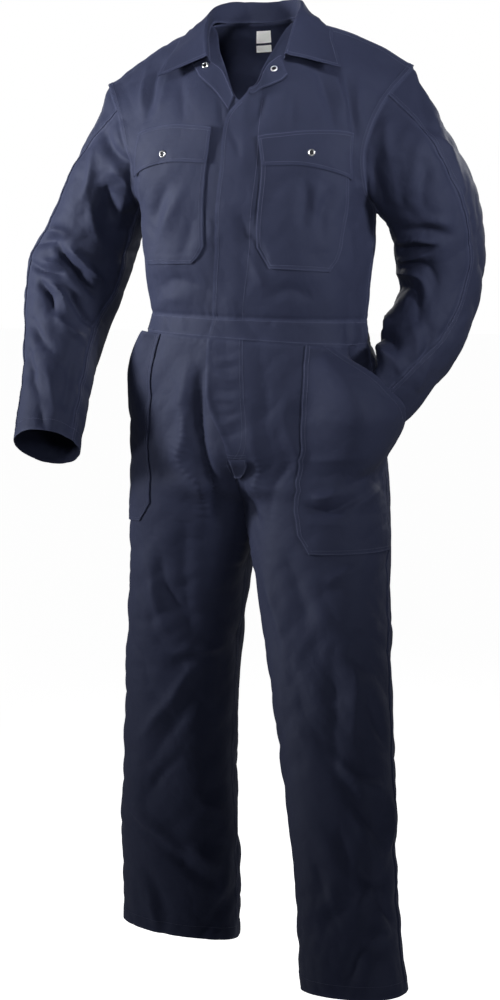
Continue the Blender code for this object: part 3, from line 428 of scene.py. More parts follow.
# Folds, by the panel that they lie on: ridges have a height above 0 and troughs below.
FOLDS = {
    # half width, height, and the (column, row) of each place in thousandths
    "front_right": (
        (0.009, -0.0050, ((286, 61), (268, 111), (262, 178), (238, 244))),
        (0.008, 0.0030, ((202, 33), (185, 128), (185, 206))),
        (0.009, 0.0030, ((369, 122), (369, 189), (327, 250))),
        (0.012, -0.0030, ((464, 144), (530, 189), (583, 244))),
        (0.005, -0.0025, ((810, 106), (833, 133), (851, 172))),
        (0.014, -0.0040, ((494, 483), (429, 572), (369, 661))),
        (0.012, 0.0030, ((613, 489), (524, 617), (429, 728))),
        (0.012, -0.0025, ((732, 606), (673, 717), (595, 800))),
        (0.005, -0.0016, ((315, 683), (381, 700), (429, 700))),
        (0.005, -0.0016, ((863, 633), (887, 661), (869, 694))),
        (0.016, -0.0040, ((405, 911), (565, 867), (732, 883), (863, 933))),
        (0.014, 0.0030, ((327, 978), (500, 939), (649, 939))),
    ),
    "front_left": (
        (0.009, -0.0060, ((607, 144), (649, 200), (702, 250), (732, 294))),
        (0.008, 0.0040, ((696, 150), (756, 206), (815, 244))),
        (0.007, -0.0050, ((762, 139), (804, 206), (863, 261), (917, 322))),
        (0.007, 0.0040, ((839, 161), (881, 217), (946, 278))),
        (0.009, -0.0030, ((458, 167), (458, 228), (458, 283))),
        (0.010, -0.0030, ((238, 94), (232, 150), (226, 206))),
        (0.012, -0.0040, ((542, 456), (565, 561), (548, 672))),
        (0.009, 0.0030, ((619, 483), (619, 589), (607, 678))),
        (0.009, -0.0040, ((714, 522), (661, 633), (667, 728))),
        (0.006, -0.0040, ((232, 700), (298, 756), (339, 811))),
        (0.008, 0.0030, ((196, 750), (268, 822), (327, 889))),
        (0.012, -0.0035, ((155, 594), (196, 694), (226, 772))),
        (0.014, -0.0040, ((375, 917), (494, 894), (631, 917))),
        (0.012, -0.0035, ((714, 806), (821, 878), (887, 956))),
        (0.012, -0.0040, ((887, 361), (917, 472), (887, 644))),
        (0.012, 0.0030, ((798, 650), (833, 744), (857, 811))),
        (0.016, 0.0030, ((202, 422), (226, 522), (226, 633))),
        (0.006, -0.0020, ((48, 172), (101, 233), (119, 300))),
    ),
    "sleeve_front_right": (
        (0.012, -0.0101, ((48, 64), (274, 51), (452, 13), (548, 0))),
        (0.010, 0.0072, ((405, 71), (560, 32), (679, 13))),
        (0.014, -0.0101, ((488, 115), (607, 141), (738, 173))),
        (0.009, 0.0058, ((726, 51), (774, 128), (821, 192))),
        (0.011, 0.0058, ((476, 205), (571, 256), (702, 301))),
        (0.007, -0.0126, ((298, 423), (464, 468), (655, 526), (821, 583))),
        (0.007, 0.0090, ((440, 404), (619, 436), (810, 487))),
        (0.006, 0.0072, ((226, 500), (381, 494), (536, 494))),
        (0.006, -0.0072, ((0, 506), (238, 532), (393, 532), (476, 519))),
        (0.007, -0.0109, ((226, 577), (369, 628), (464, 692))),
        (0.006, 0.0072, ((393, 583), (536, 635), (619, 686))),
        (0.007, -0.0090, ((560, 603), (679, 654), (821, 692), (988, 705))),
        (0.008, 0.0072, ((512, 712), (679, 744), (905, 756))),
        (0.009, -0.0058, ((179, 705), (381, 782), (571, 814))),
        (0.008, -0.0058, ((155, 795), (310, 878), (464, 923))),
        (0.010, 0.0043, ((488, 859), (619, 917), (726, 962))),
        (0.010, -0.0051, ((798, 821), (821, 885), (821, 942))),
        (0.009, -0.0043, ((464, 942), (560, 981), (631, 1000))),
        (0.008, 0.0072, ((83, 417), (202, 385), (369, 365))),
        (0.008, -0.0072, ((24, 449), (155, 423), (298, 404))),
        (0.008, 0.0051, ((131, 109), (310, 147), (381, 218))),
    ),
    "sleeve_front_left": (
        (0.007, -0.0100, ((167, 218), (369, 250), (524, 282), (667, 301))),
        (0.006, 0.0075, ((179, 186), (440, 224), (583, 269), (679, 301))),
        (0.006, 0.0063, ((155, 276), (381, 295), (548, 308), (679, 314))),
        (0.009, -0.0063, ((310, 179), (524, 218), (679, 256), (821, 301))),
        (0.008, 0.0050, ((476, 186), (667, 224), (810, 269))),
        (0.008, -0.0063, ((155, 365), (405, 353), (560, 385), (643, 474))),
        (0.008, 0.0063, ((0, 410), (345, 417), (488, 468), (619, 551))),
        (0.009, -0.0063, ((0, 494), (381, 519), (536, 571), (655, 628))),
        (0.010, 0.0063, ((0, 577), (226, 654), (143, 686))),
        (0.008, 0.0063, ((298, 756), (631, 769), (952, 801))),
        (0.013, -0.0075, ((607, 19), (393, 38), (202, 64))),
        (0.014, -0.0050, ((893, 115), (738, 147), (619, 179))),
        (0.009, 0.0044, ((869, 19), (738, 38), (583, 58))),
        (0.011, 0.0050, ((583, 647), (798, 692), (988, 737))),
        (0.010, -0.0050, ((798, 641), (952, 686), (1000, 737))),
        (0.009, -0.0075, ((60, 700), (240, 690), (480, 712), (640, 742))),
        (0.008, 0.0063, ((80, 735), (260, 728), (470, 752), (600, 790))),
        (0.006, -0.0050, ((20, 768), (180, 782), (330, 806))),
        (0.006, 0.0042, ((40, 800), (200, 815), (340, 838))),
        (0.006, -0.0047, ((60, 826), (220, 842), (380, 866))),
    ),
    "trouser_front_right": (
        (0.010, -0.0100, ((869, 92), (857, 138), (857, 192), (875, 233), (863, 296), (708, 412), (714, 504))),
        (0.016, 0.0078, ((792, 87), (762, 150), (792, 233), (673, 346), (637, 504))),
        (0.018, -0.0052, ((548, 504), (548, 579), (577, 637), (625, 692))),
        (0.014, -0.0065, ((440, 567), (470, 613), (524, 646), (595, 675))),
        (0.012, 0.0052, ((399, 600), (435, 642), (494, 679))),
        (0.008, 0.0046, ((536, 708), (619, 704), (738, 704), (833, 700))),
        (0.010, -0.0039, ((518, 721), (619, 713), (756, 713))),
        (0.009, 0.0052, ((619, 725), (560, 750), (470, 779), (357, 808))),
        (0.014, -0.0052, ((673, 750), (595, 775), (488, 808), (417, 838))),
        (0.010, -0.0052, ((393, 875), (458, 854), (524, 833), (595, 825))),
        (0.011, 0.0065, ((274, 887), (399, 900), (476, 912), (542, 925))),
        (0.009, -0.0065, ((405, 908), (512, 925), (631, 942), (756, 950))),
        (0.012, 0.0052, ((601, 917), (696, 929), (810, 938))),
        (0.012, 0.0046, ((768, 967), (839, 954), (881, 942))),
        (0.012, -0.0046, ((667, 992), (762, 979), (851, 967))),
        (0.014, -0.0046, ((375, 942), (446, 963), (488, 983))),
        (0.012, 0.0039, ((393, 967), (423, 983), (440, 996))),
        (0.012, 0.0039, ((649, 863), (738, 879), (845, 883))),
        (0.028, 0.0080, ((900, 340), (905, 400), (905, 480), (880, 600))),
    ),
    "trouser_front_left": (
        (0.009, 0.0026, ((155, 146), (125, 208), (125, 275), (321, 425))),
        (0.010, -0.0026, ((220, 79), (226, 142), (185, 225), (214, 304))),
        (0.009, -0.0033, ((101, 342), (196, 438), (292, 517))),
        (0.011, -0.0026, ((256, 183), (238, 250), (381, 375), (375, 492))),
        (0.010, 0.0026, ((321, 142), (286, 225), (381, 338))),
        (0.009, -0.0078, ((548, 450), (595, 463), (667, 458), (750, 421))),
        (0.010, 0.0065, ((548, 408), (613, 408), (673, 375))),
        (0.012, -0.0052, ((649, 392), (702, 350), (780, 325), (893, 287))),
        (0.010, 0.0052, ((726, 454), (810, 425), (911, 371))),
        (0.016, -0.0052, ((440, 567), (476, 608), (494, 654))),
        (0.014, 0.0052, ((274, 596), (327, 637), (369, 683))),
        (0.009, 0.0039, ((589, 600), (679, 588), (804, 575))),
        (0.018, -0.0052, ((589, 692), (583, 733), (565, 771), (565, 796))),
        (0.014, 0.0052, ((696, 692), (702, 733), (667, 771))),
        (0.012, -0.0046, ((768, 733), (833, 758), (893, 779))),
        (0.010, 0.0065, ((571, 792), (631, 804), (708, 812), (869, 821))),
        (0.010, -0.0052, ((542, 800), (607, 812), (679, 833), (780, 854))),
        (0.014, -0.0052, ((542, 850), (583, 871), (595, 892))),
        (0.012, 0.0052, ((643, 838), (720, 858), (804, 879))),
        (0.010, 0.0078, ((976, 833), (946, 858), (935, 871))),
        (0.012, -0.0065, ((673, 883), (732, 896), (863, 900))),
        (0.011, 0.0078, ((607, 921), (685, 908), (762, 900))),
        (0.010, -0.0052, ((774, 904), (839, 921), (911, 938))),
        (0.014, -0.0052, ((423, 938), (512, 925), (571, 921))),
        (0.011, 0.0065, ((655, 950), (726, 946), (875, 942))),
        (0.012, -0.0065, ((536, 988), (583, 967), (661, 954), (821, 954))),
        (0.012, 0.0046, ((464, 896), (500, 908), (500, 925))),
        (0.014, -0.0039, ((393, 879), (446, 892), (458, 912))),
        (0.005, 0.0016, ((42, 54), (77, 58), (119, 50))),
        (0.005, -0.0016, ((36, 79), (83, 79), (119, 71))),
        (0.005, 0.0016, ((42, 96), (83, 104), (119, 100))),
        (0.005, -0.0018, ((36, 121), (77, 129), (119, 121))),
        (0.005, 0.0016, ((30, 142), (71, 146), (107, 142))),
        (0.005, -0.0018, ((18, 171), (54, 179), (107, 163))),
        (0.005, 0.0018, ((6, 196), (42, 196), (89, 183))),
        (0.005, -0.0018, ((0, 217), (18, 221), (77, 212))),
        (0.010, 0.0029, ((10, 80), (6, 146), (4, 204), (4, 242))),
        (0.026, 0.0070, ((100, 340), (100, 400), (110, 480), (140, 600))),
        (0.017, -0.0190, ((830, 4), (885, 36), (940, 72), (985, 110))),
    ),
    "waistband_left": (
        (0.006, -0.0022, ((851, 0), (833, 542), (804, 958))),
        (0.006, 0.0024, ((905, 0), (893, 542), (875, 1000))),
        (0.005, -0.0024, ((958, 42), (964, 542), (946, 1000))),
        (0.008, -0.0016, ((363, 0), (345, 333))),
        (0.010, 0.0016, ((554, 125), (655, 292))),
    ),
    "waistband_right": (
        (0.006, -0.0020, ((440, 42), (589, 833))),
        (0.007, 0.0018, ((601, 0), (720, 750))),
    ),
    "sleeve_back_left": (
        (0.009, -0.0041, ((128, 26), (77, 71), (6, 115))),
        (0.010, 0.0033, ((154, 51), (154, 103), (128, 147))),
        (0.007, 0.0033, ((32, 122), (58, 147), (90, 179))),
        (0.010, -0.0029, ((90, 205), (51, 256), (45, 333))),
        (0.010, -0.0033, ((0, 558), (0, 628), (51, 692))),
        (0.010, 0.0029, ((0, 667), (71, 724), (179, 801))),
        (0.013, 0.0039, ((120, 30), (100, 110), (60, 200), (30, 290))),
        (0.010, -0.0049, ((300, 380), (480, 400), (660, 392), (860, 360))),
        (0.009, 0.0039, ((360, 420), (560, 436), (760, 420))),
        (0.010, -0.0042, ((420, 470), (620, 478), (820, 450))),
        (0.012, -0.0033, ((500, 140), (520, 220), (500, 300))),
        (0.011, -0.0034, ((340, 600), (460, 670), (560, 740))),
    ),
    "back": (
        (0.020, -0.0060, ((160, 300), (190, 440), (200, 600), (180, 780))),
        (0.016, 0.0050, ((240, 260), (270, 420), (275, 620), (250, 820))),
        (0.018, -0.0055, ((850, 280), (810, 430), (800, 610), (830, 800))),
        (0.015, 0.0045, ((770, 240), (740, 400), (730, 640), (750, 840))),
        (0.013, 0.0040, ((420, 700), (430, 820), (420, 950))),
        (0.014, -0.0045, ((480, 660), (490, 800), (485, 940))),
        (0.012, 0.0038, ((560, 720), (550, 840), (560, 960))),
        (0.014, -0.0042, ((330, 740), (340, 850), (330, 950))),
        (0.013, -0.0040, ((660, 730), (650, 840), (660, 960))),
        (0.016, -0.0035, ((300, 120), (400, 170), (520, 180), (660, 150))),
        (0.015, 0.0030, ((240, 180), (380, 240), (560, 250), (720, 210))),
        (0.012, -0.0045, ((20, 660), (90, 600), (170, 520))),
        (0.012, -0.0045, ((980, 650), (920, 590), (840, 510))),
        (0.017, 0.0050, ((80, 900), (240, 920), (420, 910))),
        (0.017, 0.0048, ((560, 910), (740, 930), (930, 900))),
    ),
    "trouser_back_left": (
        (0.014, -0.0053, ((300, 240), (500, 262), (720, 250), (900, 225))),
        (0.012, 0.0040, ((350, 275), (540, 296), (760, 284))),
        (0.013, -0.0044, ((920, 290), (740, 320), (560, 345))),
        (0.014, -0.0049, ((120, 500), (340, 530), (600, 515), (820, 490))),
        (0.012, 0.0040, ((180, 545), (400, 568), (640, 556))),
        (0.013, -0.0040, ((880, 560), (660, 600), (420, 620), (240, 610))),
        (0.016, -0.0035, ((300, 700), (420, 760), (560, 840))),
        (0.013, 0.0035, ((620, 880), (480, 910), (320, 920))),
        (0.018, -0.0031, ((500, 60), (520, 120), (500, 180))),
    ),
    "trouser_back_right": (
        (0.014, -0.0053, ((100, 225), (300, 252), (520, 260), (720, 236))),
        (0.012, 0.0040, ((240, 288), (460, 298), (660, 270))),
        (0.014, -0.0044, ((420, 350), (260, 326), (80, 292))),
        (0.014, -0.0049, ((180, 500), (420, 524), (640, 532), (860, 512))),
        (0.012, 0.0037, ((340, 560), (560, 572), (780, 550))),
        (0.015, -0.0035, ((700, 640), (560, 720), (440, 800))),
        (0.013, -0.0035, ((220, 880), (440, 906), (660, 900))),
        (0.012, 0.0033, ((300, 930), (500, 946), (700, 936))),
        (0.018, -0.0031, ((500, 60), (480, 120), (500, 180))),
    ),
    "sleeve_back_right": (
        (0.010, -0.0053, ((200, 420), (420, 452), (640, 440), (860, 400))),
        (0.009, 0.0041, ((260, 466), (480, 488), (700, 470))),
        (0.010, -0.0045, ((180, 520), (400, 536), (640, 524), (840, 500))),
        (0.009, 0.0037, ((320, 568), (540, 580), (760, 560))),
        (0.011, -0.0037, ((300, 640), (520, 626), (740, 646))),
        (0.014, -0.0033, ((400, 120), (440, 200), (430, 290))),
        (0.012, -0.0029, ((600, 740), (560, 820), (580, 900))),
    ),
}


# Slack of the cloth everywhere: waves, each with its turns along x, y and z, its start and its size.
SLACK = (
    ((41.0, 23.0, 17.0), 0.4, 0.00055),
    ((-29.0, 37.0, 31.0), 1.9, 0.00050),
    ((13.0, -53.0, 47.0), 3.1, 0.00035),
    ((71.0, 11.0, -39.0), 5.0, 0.00028),
    ((-67.0, -45.0, 83.0), 0.9, 0.00020),
)

# How each panel's edges are sewn: its first column, its last column, its top and its bottom.
EDGES = {
    "front_left": ("stitched", "lapped", "lapped", "gathered"),
    "front_right": ("lapped", "none", "lapped", "gathered"),
    "back": ("sunk", "sunk", "sunk", "gathered"),
    "waistband_left": ("stitched", "sunk", "stitched", "stitched"),
    "waistband_right": ("sunk", "none", "stitched", "stitched"),
    "waistband_back": ("sunk", "sunk", "gathered", "gathered"),
    "trouser_front_left": ("lapped", "sunk", "gathered", "hem"),
    "trouser_front_right": ("sunk", "lapped", "gathered", "hem"),
    "trouser_back_left": ("lapped", "sunk", "gathered", "hem"),
    "trouser_back_right": ("sunk", "lapped", "gathered", "hem"),
    "sleeve_front_left": ("sunk", "sunk", "sunk", "hem"),
    "sleeve_front_right": ("sunk", "sunk", "sunk", "hem"),
    "sleeve_back_left": ("lapped", "lapped", "sunk", "hem"),
    "sleeve_back_right": ("lapped", "lapped", "sunk", "hem"),
    "collar": ("stitched", "stitched", "sunk", "stitched"),
}


def smooth(x):
    """A soft step from 0 to 1."""
    x = np.clip(x, 0, 1)
    return x * x * (3 - 2 * x)


def unit(ways):
    """Each row of three numbers scaled to a length of 1."""
    return ways / np.linalg.norm(ways, axis=-1, keepdims=True)


def spline(rows, at):
    """Points of a Catmull-Rom curve through evenly spaced rows, for places from 0 to 1."""
    rows = np.asarray(rows, float)
    last = len(rows) - 1
    padded = np.concatenate([2 * rows[:1] - rows[1:2], rows, 2 * rows[-1:] - rows[-2:-1]])
    place = np.asarray(at, float) * last
    first = np.clip(np.floor(place).astype(int), 0, last - 1)
    t = (place - first).reshape(place.shape + (1,) * (rows.ndim - 1))
    a, b, c, d = (padded[first + k] for k in range(4))
    return 0.5 * (2 * b + (c - a) * t + (2 * a - 5 * b + 4 * c - d) * t**2 + (3 * b - a - 3 * c + d) * t**3)


def eased(z, table):
    """Each column of a table read at the heights z, with a soft start and stop at every row."""
    table = np.asarray(table, float)[::-1]
    place = np.interp(z, table[:, 0], np.arange(len(table)))
    whole = np.clip(np.floor(place), 0, len(table) - 2).astype(int)
    part = smooth(place - whole)
    return [table[whole, k] * (1 - part) + table[whole + 1, k] * part for k in range(1, table.shape[1])]


def stance(points):
    """The body's points turned, lifted and shifted by height."""
    points = np.array(points, float)
    turn, lift, shift = eased(points[..., 2], STANCE)
    turn = np.radians(turn)
    x = points[..., 0].copy()
    y = points[..., 1] - TURN_AXIS_Y
    points[..., 0] = x * np.cos(turn) - y * np.sin(turn) + shift
    points[..., 1] = x * np.sin(turn) + y * np.cos(turn) + TURN_AXIS_Y
    points[..., 2] += lift * x
    return points


def mirrored(table, middle=None):
    """A half table of rows of points made whole: columns run from the right side to the left side."""
    half = np.array(table, float)
    if middle is not None:
        half[0, 0] = middle
    other = half[:, :0:-1] * (-1, 1, 1)
    return np.concatenate([other, half], axis=1)


def bodice(table, places, downs):
    """A grid of points on the bodice, a row for each of downs.

    places run from -1 at the right side to 1 at the left.
    """
    grid = [spline(spline(table, down), (row + 1) / 2) for row, down in zip(places, downs)]
    return stance(grid)


def leg(table, side, behind, places, downs):
    """A grid of points on a trouser half. places run from 0 at the inner edge to 1 at the side seam."""
    grid = []
    for row, down in zip(places, downs):
        rings = []
        for z, x, y, outer, inner, front, back, front_start, back_start, rise in table:
            start = back_start if behind else front_start
            angle = np.radians(start + (90 - start) * row)
            wide = np.where(angle > 0, outer, inner)
            deep = back if behind else -front
            along = np.sign(np.sin(angle)) * np.abs(np.sin(angle)) ** SQUARE
            across = np.sign(np.cos(angle)) * np.abs(np.cos(angle)) ** SQUARE
            rings.append(np.stack([x + wide * along, y + deep * across, z + rise * row], axis=-1))
        grid.append(spline(rings, down))
    grid = np.array(grid)
    grid[..., 0] = np.where(places >= 0, np.maximum(grid[..., 0], SEAM_GAP), grid[..., 0])
    return grid * (side, 1, 1)


def joined(grids, pairs, first_row):
    """Makes the edge columns that meet along a seam one line, from the given row down."""
    for one, column, other, facing in pairs:
        middle = (grids[one][first_row:, column] + grids[other][first_row:, facing]) / 2
        grids[one][first_row:, column] = middle
        grids[other][first_row:, facing] = middle


def sleeve(table, side, hole, angles, downs):
    """A grid of points on a sleeve whose first ring is the armhole. Angles run as the armhole's."""
    table = np.array(table, float)
    centres = table[:, :3] * (side, 1, 1)
    start = hole.mean(axis=0) + (0, 0, ARMHOLE_RISE)
    along = unit(np.gradient(np.concatenate([start[None], centres]), axis=0)[1:])
    turn = np.radians(angles)
    rings = [hole]
    for centre, ahead, (width, depth, lean, swing) in zip(centres, along, table[:, 3:]):
        front = np.array((0.0, -1.0, 0.0))
        front -= ahead * (front @ ahead)
        front /= np.linalg.norm(front)
        out = np.cross(front, ahead) * side
        lean, swing = math.radians(lean), math.radians(swing)
        turned = front * math.cos(swing) - out * math.sin(swing)
        out = out * math.cos(swing) + front * math.sin(swing)
        front = turned
        wide = out * math.cos(lean) - ahead * math.sin(lean)
        rings.append(centre + np.outer(np.cos(turn), wide) * width + np.outer(np.sin(turn), front) * depth)
    return spline(rings, downs)


def normals_of(grid):
    """Unit normals of a grid of points, from its rows and columns."""
    across = np.gradient(grid, axis=1)
    down = np.gradient(grid, axis=0)
    return unit(np.cross(down, across))


def border(grid):
    """The grid's outermost points, in order round it."""
    return np.concatenate([grid[0, :-1], grid[:-1, -1], grid[-1, :0:-1], grid[:0:-1, 0]])


def set_border(grid, values):
    """Writes values back where border read them."""
    rows, columns = grid.shape[0] - 1, grid.shape[1] - 1
    grid[0, :-1] = values[:columns]
    grid[:-1, -1] = values[columns:columns + rows]
    grid[-1, :0:-1] = values[columns + rows:2 * columns + rows]
    grid[:0:-1, 0] = values[2 * columns + rows:]


def share_normals(grids, normals):
    """Gives the pieces that meet along a seam one normal there, so their walls end side by side."""
    names = list(grids)
    points = [border(grids[name]) for name in names]
    ways = [border(normals[name]) for name in names]
    place = np.concatenate(points)
    way = np.concatenate(ways)
    owner = np.concatenate([np.full(len(p), k) for k, p in enumerate(points)])
    near = np.linalg.norm(place[:, None] - place[None], axis=2) < MEETING
    shared = near.astype(float) @ way
    turned = np.linalg.norm(shared, axis=1) < 0.6 * near.sum(axis=1)
    shared[turned] += (0.0, 0.0, -1.0)
    shared = unit(shared)
    for k, name in enumerate(names):
        set_border(normals[name], shared[owner == k])


def rows_of(first, last, count):
    """Evenly spaced places from first to last, a row for each pair of ends."""
    first, last = np.broadcast_arrays(first, last)
    return first[:, None] + (last - first)[:, None] * np.linspace(0, 1, count + 1)


def fronts_and_back():
    """The bodice grids, and the lift of the left front where it lies over the right one."""
    downs = np.linspace(0, 1, BODICE_ROWS + 1)
    settled = smooth(np.clip(downs / 0.15, 0, 1) ** 0.8)
    left_table = mirrored(FRONT, V_LEFT)
    right_table = mirrored(FRONT, V_RIGHT)
    left_edge = -PLACKET_EDGE * settled
    right_edge = PLACKET_TUCK * settled
    places = {
        "front_left": rows_of(left_edge, 1.0 + 0 * downs, FRONT_COLUMNS),
        "front_right": rows_of(-1.0 + 0 * downs, right_edge, FRONT_COLUMNS),
        "back": rows_of(-1.0 + 0 * downs, 1.0 + 0 * downs, 2 * FRONT_COLUMNS),
    }
    grids = {
        "front_left": bodice(left_table, places["front_left"], downs),
        "front_right": bodice(right_table, places["front_right"], downs),
        "back": bodice(mirrored(BACK), places["back"], downs)[:, ::-1],
    }
    seams = (("front_left", -1, "back", 0), ("front_right", 0, "back", -1))
    joined(grids, seams, round(ARMHOLE_FOOT * BODICE_ROWS))
    half = FRONT_COLUMNS // 2
    left, right, back = grids["front_left"][0], grids["front_right"][0], grids["back"][0]
    left[half:] = (left[half:] + back[half::-1]) / 2
    back[:half + 1] = left[half:][::-1]
    right[:half + 1] = (right[:half + 1] + back[:-half - 2:-1]) / 2
    back[-half - 1:] = right[:half + 1][::-1]
    return places, grids


def trousers():
    """The trouser grids, each with its first column at the inner edge before any flip."""
    downs = np.linspace(0, 1, LEG_ROWS + 1)
    fly = smooth(1 - np.clip((downs - FLY_STRAIGHT) / (FLY_FOOT - FLY_STRAIGHT), 0, 1))
    plain = rows_of(0 * downs, 1 + 0 * downs, LEG_COLUMNS)
    over = rows_of(-FLY_EDGE * fly, 1 + 0 * downs, LEG_COLUMNS)
    under = rows_of(-FLY_TUCK * fly, 1 + 0 * downs, LEG_COLUMNS)
    places = {
        "trouser_front_left": over,
        "trouser_front_right": under,
        "trouser_back_left": plain,
        "trouser_back_right": plain,
    }
    grids = {
        "trouser_front_left": leg(LEG_LEFT, 1, False, over, downs),
        "trouser_front_right": leg(LEG_RIGHT, -1, False, under, downs)[:, ::-1],
        "trouser_back_left": leg(LEG_LEFT, 1, True, plain, downs)[:, ::-1],
        "trouser_back_right": leg(LEG_RIGHT, -1, True, plain, downs),
    }
    seams = (
        ("trouser_front_left", 0, "trouser_back_left", -1),
        ("trouser_front_right", -1, "trouser_back_right", 0),
    )
    joined(grids, seams, round(FORK_SECTION / (len(LEG_LEFT) - 1) * LEG_ROWS))
    return places, {name: stance(grid) for name, grid in grids.items()}


def arms(grids):
    """The sleeve grids, two to an arm, hung on the armholes of the bodice grids."""
    steps = round(ARMHOLE_FOOT * BODICE_ROWS)
    turns = np.arange(2 * steps + 1) * 180 / steps
    made = {}
    for side, word, table in ((1, "left", SLEEVE_LEFT), (-1, "right", SLEEVE_RIGHT)):
        edge = grids["front_" + word][:, -1 if side == 1 else 0]
        rear = grids["back"][:, 0 if side == 1 else -1]
        hole = np.concatenate([edge[:steps + 1], rear[:steps][::-1]])
        downs = np.linspace(0, 1, SLEEVE_ROWS + 1)
        whole = sleeve(table, side, hole, turns, downs)
        ring = np.concatenate([whole[:, SLEEVE_UNDER:-1], whole[:, :SLEEVE_OUTER + 1]], axis=1)
        front = whole[:, SLEEVE_OUTER:SLEEVE_UNDER + 1]
        made["sleeve_front_" + word] = front[:, ::-1] if side == 1 else front
        made["sleeve_back_" + word] = ring[:, ::-1] if side == 1 else ring
    return made


def on_grid(grid, columns, rows):
    """Values of a grid at fractional places, each from 0 to 1."""
    across = np.clip(columns, 0, 1) * (grid.shape[1] - 1)
    down = np.clip(rows, 0, 1) * (grid.shape[0] - 1)
    left = np.minimum(across.astype(int), grid.shape[1] - 2)
    top = np.minimum(down.astype(int), grid.shape[0] - 2)
    s = (across - left)[..., None]
    t = (down - top)[..., None]
    upper = grid[top, left] * (1 - s) + grid[top, left + 1] * s
    lower = grid[top + 1, left] * (1 - s) + grid[top + 1, left + 1] * s
    return upper * (1 - t) + lower * t


def spline_even(table, rows, places=None):
    """The table's rows joined by straight lines, read at evenly spaced places or at the given ones."""
    table = np.asarray(table, float)
    place = np.linspace(0, len(table) - 1, rows + 1) if places is None else places * (len(table) - 1)
    return np.stack([np.interp(place, np.arange(len(table)), table[:, k]) for k in range(4)], axis=1)


def left_puff(across, down):
    """How far the left hip pocket stands off round the cuff inside it."""
    held = smooth(across / 0.55) * smooth((down + 0.02) / 0.34)
    reach = 0.54 + 0.20 * smooth((1 - across) / 0.5)
    return LEFT_PUFF * held * (1 - smooth((down - 0.24) / (reach - 0.24)))


def right_puff(across, down):
    """How far the right hip pocket gapes at its slanted mouth."""
    held = smooth((1 - across) / 0.80) * smooth((0.50 - down) / 0.50)
    side = 1 - smooth((down - 0.30) / 0.14) * smooth((0.5 - across) / 0.5)
    return RIGHT_PUFF * held * side


def waistband(grids):
    """The waistband grids, each ruled between the bodice above it and the trousers below."""
    behind = np.concatenate([grids["trouser_back_left"][0], grids["trouser_back_right"][0, 1:]])
    pairs = {
        "waistband_left": (grids["front_left"][-1], grids["trouser_front_left"][0]),
        "waistband_right": (grids["front_right"][-1], grids["trouser_front_right"][0]),
        "waistband_back": (grids["back"][-1], behind),
    }
    share = np.linspace(0, 1, WAIST_ROWS + 1)[:, None, None]
    return {name: top * (1 - share) + foot * share for name, (top, foot) in pairs.items()}


def kept_off(points, ways, panels, least):
    """Points moved along their own ways until they stand off the panels by least, the moves kept even."""
    places = np.concatenate([grid.reshape(-1, 3) for grid, normals in panels])
    normals = np.concatenate([normals.reshape(-1, 3) for grid, normals in panels])
    push = np.zeros(points.shape[:2])
    for k in np.ndindex(push.shape):
        apart = np.linalg.norm(places - points[k], axis=1)
        near = np.argsort(apart)[:3]
        off = ((points[k] - places[near]) * normals[near]).sum(axis=1).mean()
        if apart[near[0]] < REACH:
            push[k] = max(0.0, least - off)
    for _ in range(4):
        wide = np.pad(push, 1, mode="edge")
        mean = (wide[1:-1, :-2] + wide[1:-1, 2:] + wide[:-2, 1:-1] + wide[2:, 1:-1]) / 4
        push = np.maximum(push, mean)
    return points + ways * push[..., None]


# Pieces sewn on a panel: how many layers lie beneath, how they stand off, and how their edges are sewn.
SEWN = (
    # name, panel, table, layers, puff, (first column, last column, top, bottom)
    ("chest_pocket_right", "front_right", POCKET_RIGHT, 1, None, ("stitched", "stitched", "hem", "stitched")),
    ("chest_pocket_left", "front_left", POCKET_LEFT, 1, None, ("stitched", "stitched", "hem", "stitched")),
    ("chest_flap_right", "front_right", FLAP_RIGHT, 2, None, ("stitched",) * 4),
    ("chest_flap_left", "front_left", FLAP_LEFT, 1.92, None, ("stitched",) * 4),
    (
        "hip_pocket_left", "trouser_front_left", HIP_LEFT, 1, left_puff,
        ("stitched", "hem", "stitched", "stitched"),
    ),
    (
        "hip_pocket_right", "trouser_front_right", HIP_RIGHT, 1, right_puff,
        ("hem", "stitched", "stitched", "stitched"),
    ),
    ("lapel_right", "front_right", LAPEL_RIGHT, 0.94, None, ("stitched",) * 4),
    ("lapel_left", "front_left", LAPEL_LEFT, 1.54, None, ("stitched",) * 4),
    ("fly_tongue", "trouser_front_left", TONGUE, 1.72, None, ("stitched",) * 4),
)

# How far in from a seam its rows of stitching lie, and from the mouth of a hip pocket.
EDGE_ROW = 0.0018
SECOND_ROW = 0.0070
MOUTH_ROW = 0.0130

# Rows of stitching along the sides of the pieces, each: side, distance in from it, from and to along it.
# Sides: 0 first column, 1 last column, 2 top, 3 bottom.
SLEEVE_SEWN = (
    (0, EDGE_ROW, 0.00, 1.00),
    (0, SECOND_ROW, 0.00, 1.00),
    (1, EDGE_ROW, 0.00, 1.00),
    (1, SECOND_ROW, 0.00, 1.00),
    (3, HEM_WIDTH, 0.00, 1.00),
)
CHEST_POCKET_SEWN = (
    (0, EDGE_ROW, 0.00, 1.00),
    (0, SECOND_ROW, 0.00, 0.95),
    (1, EDGE_ROW, 0.00, 1.00),
    (1, SECOND_ROW, 0.00, 0.95),
    (3, EDGE_ROW, 0.01, 0.99),
    (3, SECOND_ROW, 0.06, 0.94),
)
CHEST_FLAP_SEWN = (
    (0, 0.0050, 0.12, 0.86),
    (1, 0.0050, 0.12, 0.86),
    (2, EDGE_ROW, 0.01, 0.99),
    (2, 0.0065, 0.01, 0.99),
    (3, 0.0050, 0.05, 0.95),
)
WAISTBAND_SEWN = ((2, EDGE_ROW, 0.00, 1.00), (3, EDGE_ROW, 0.00, 1.00))
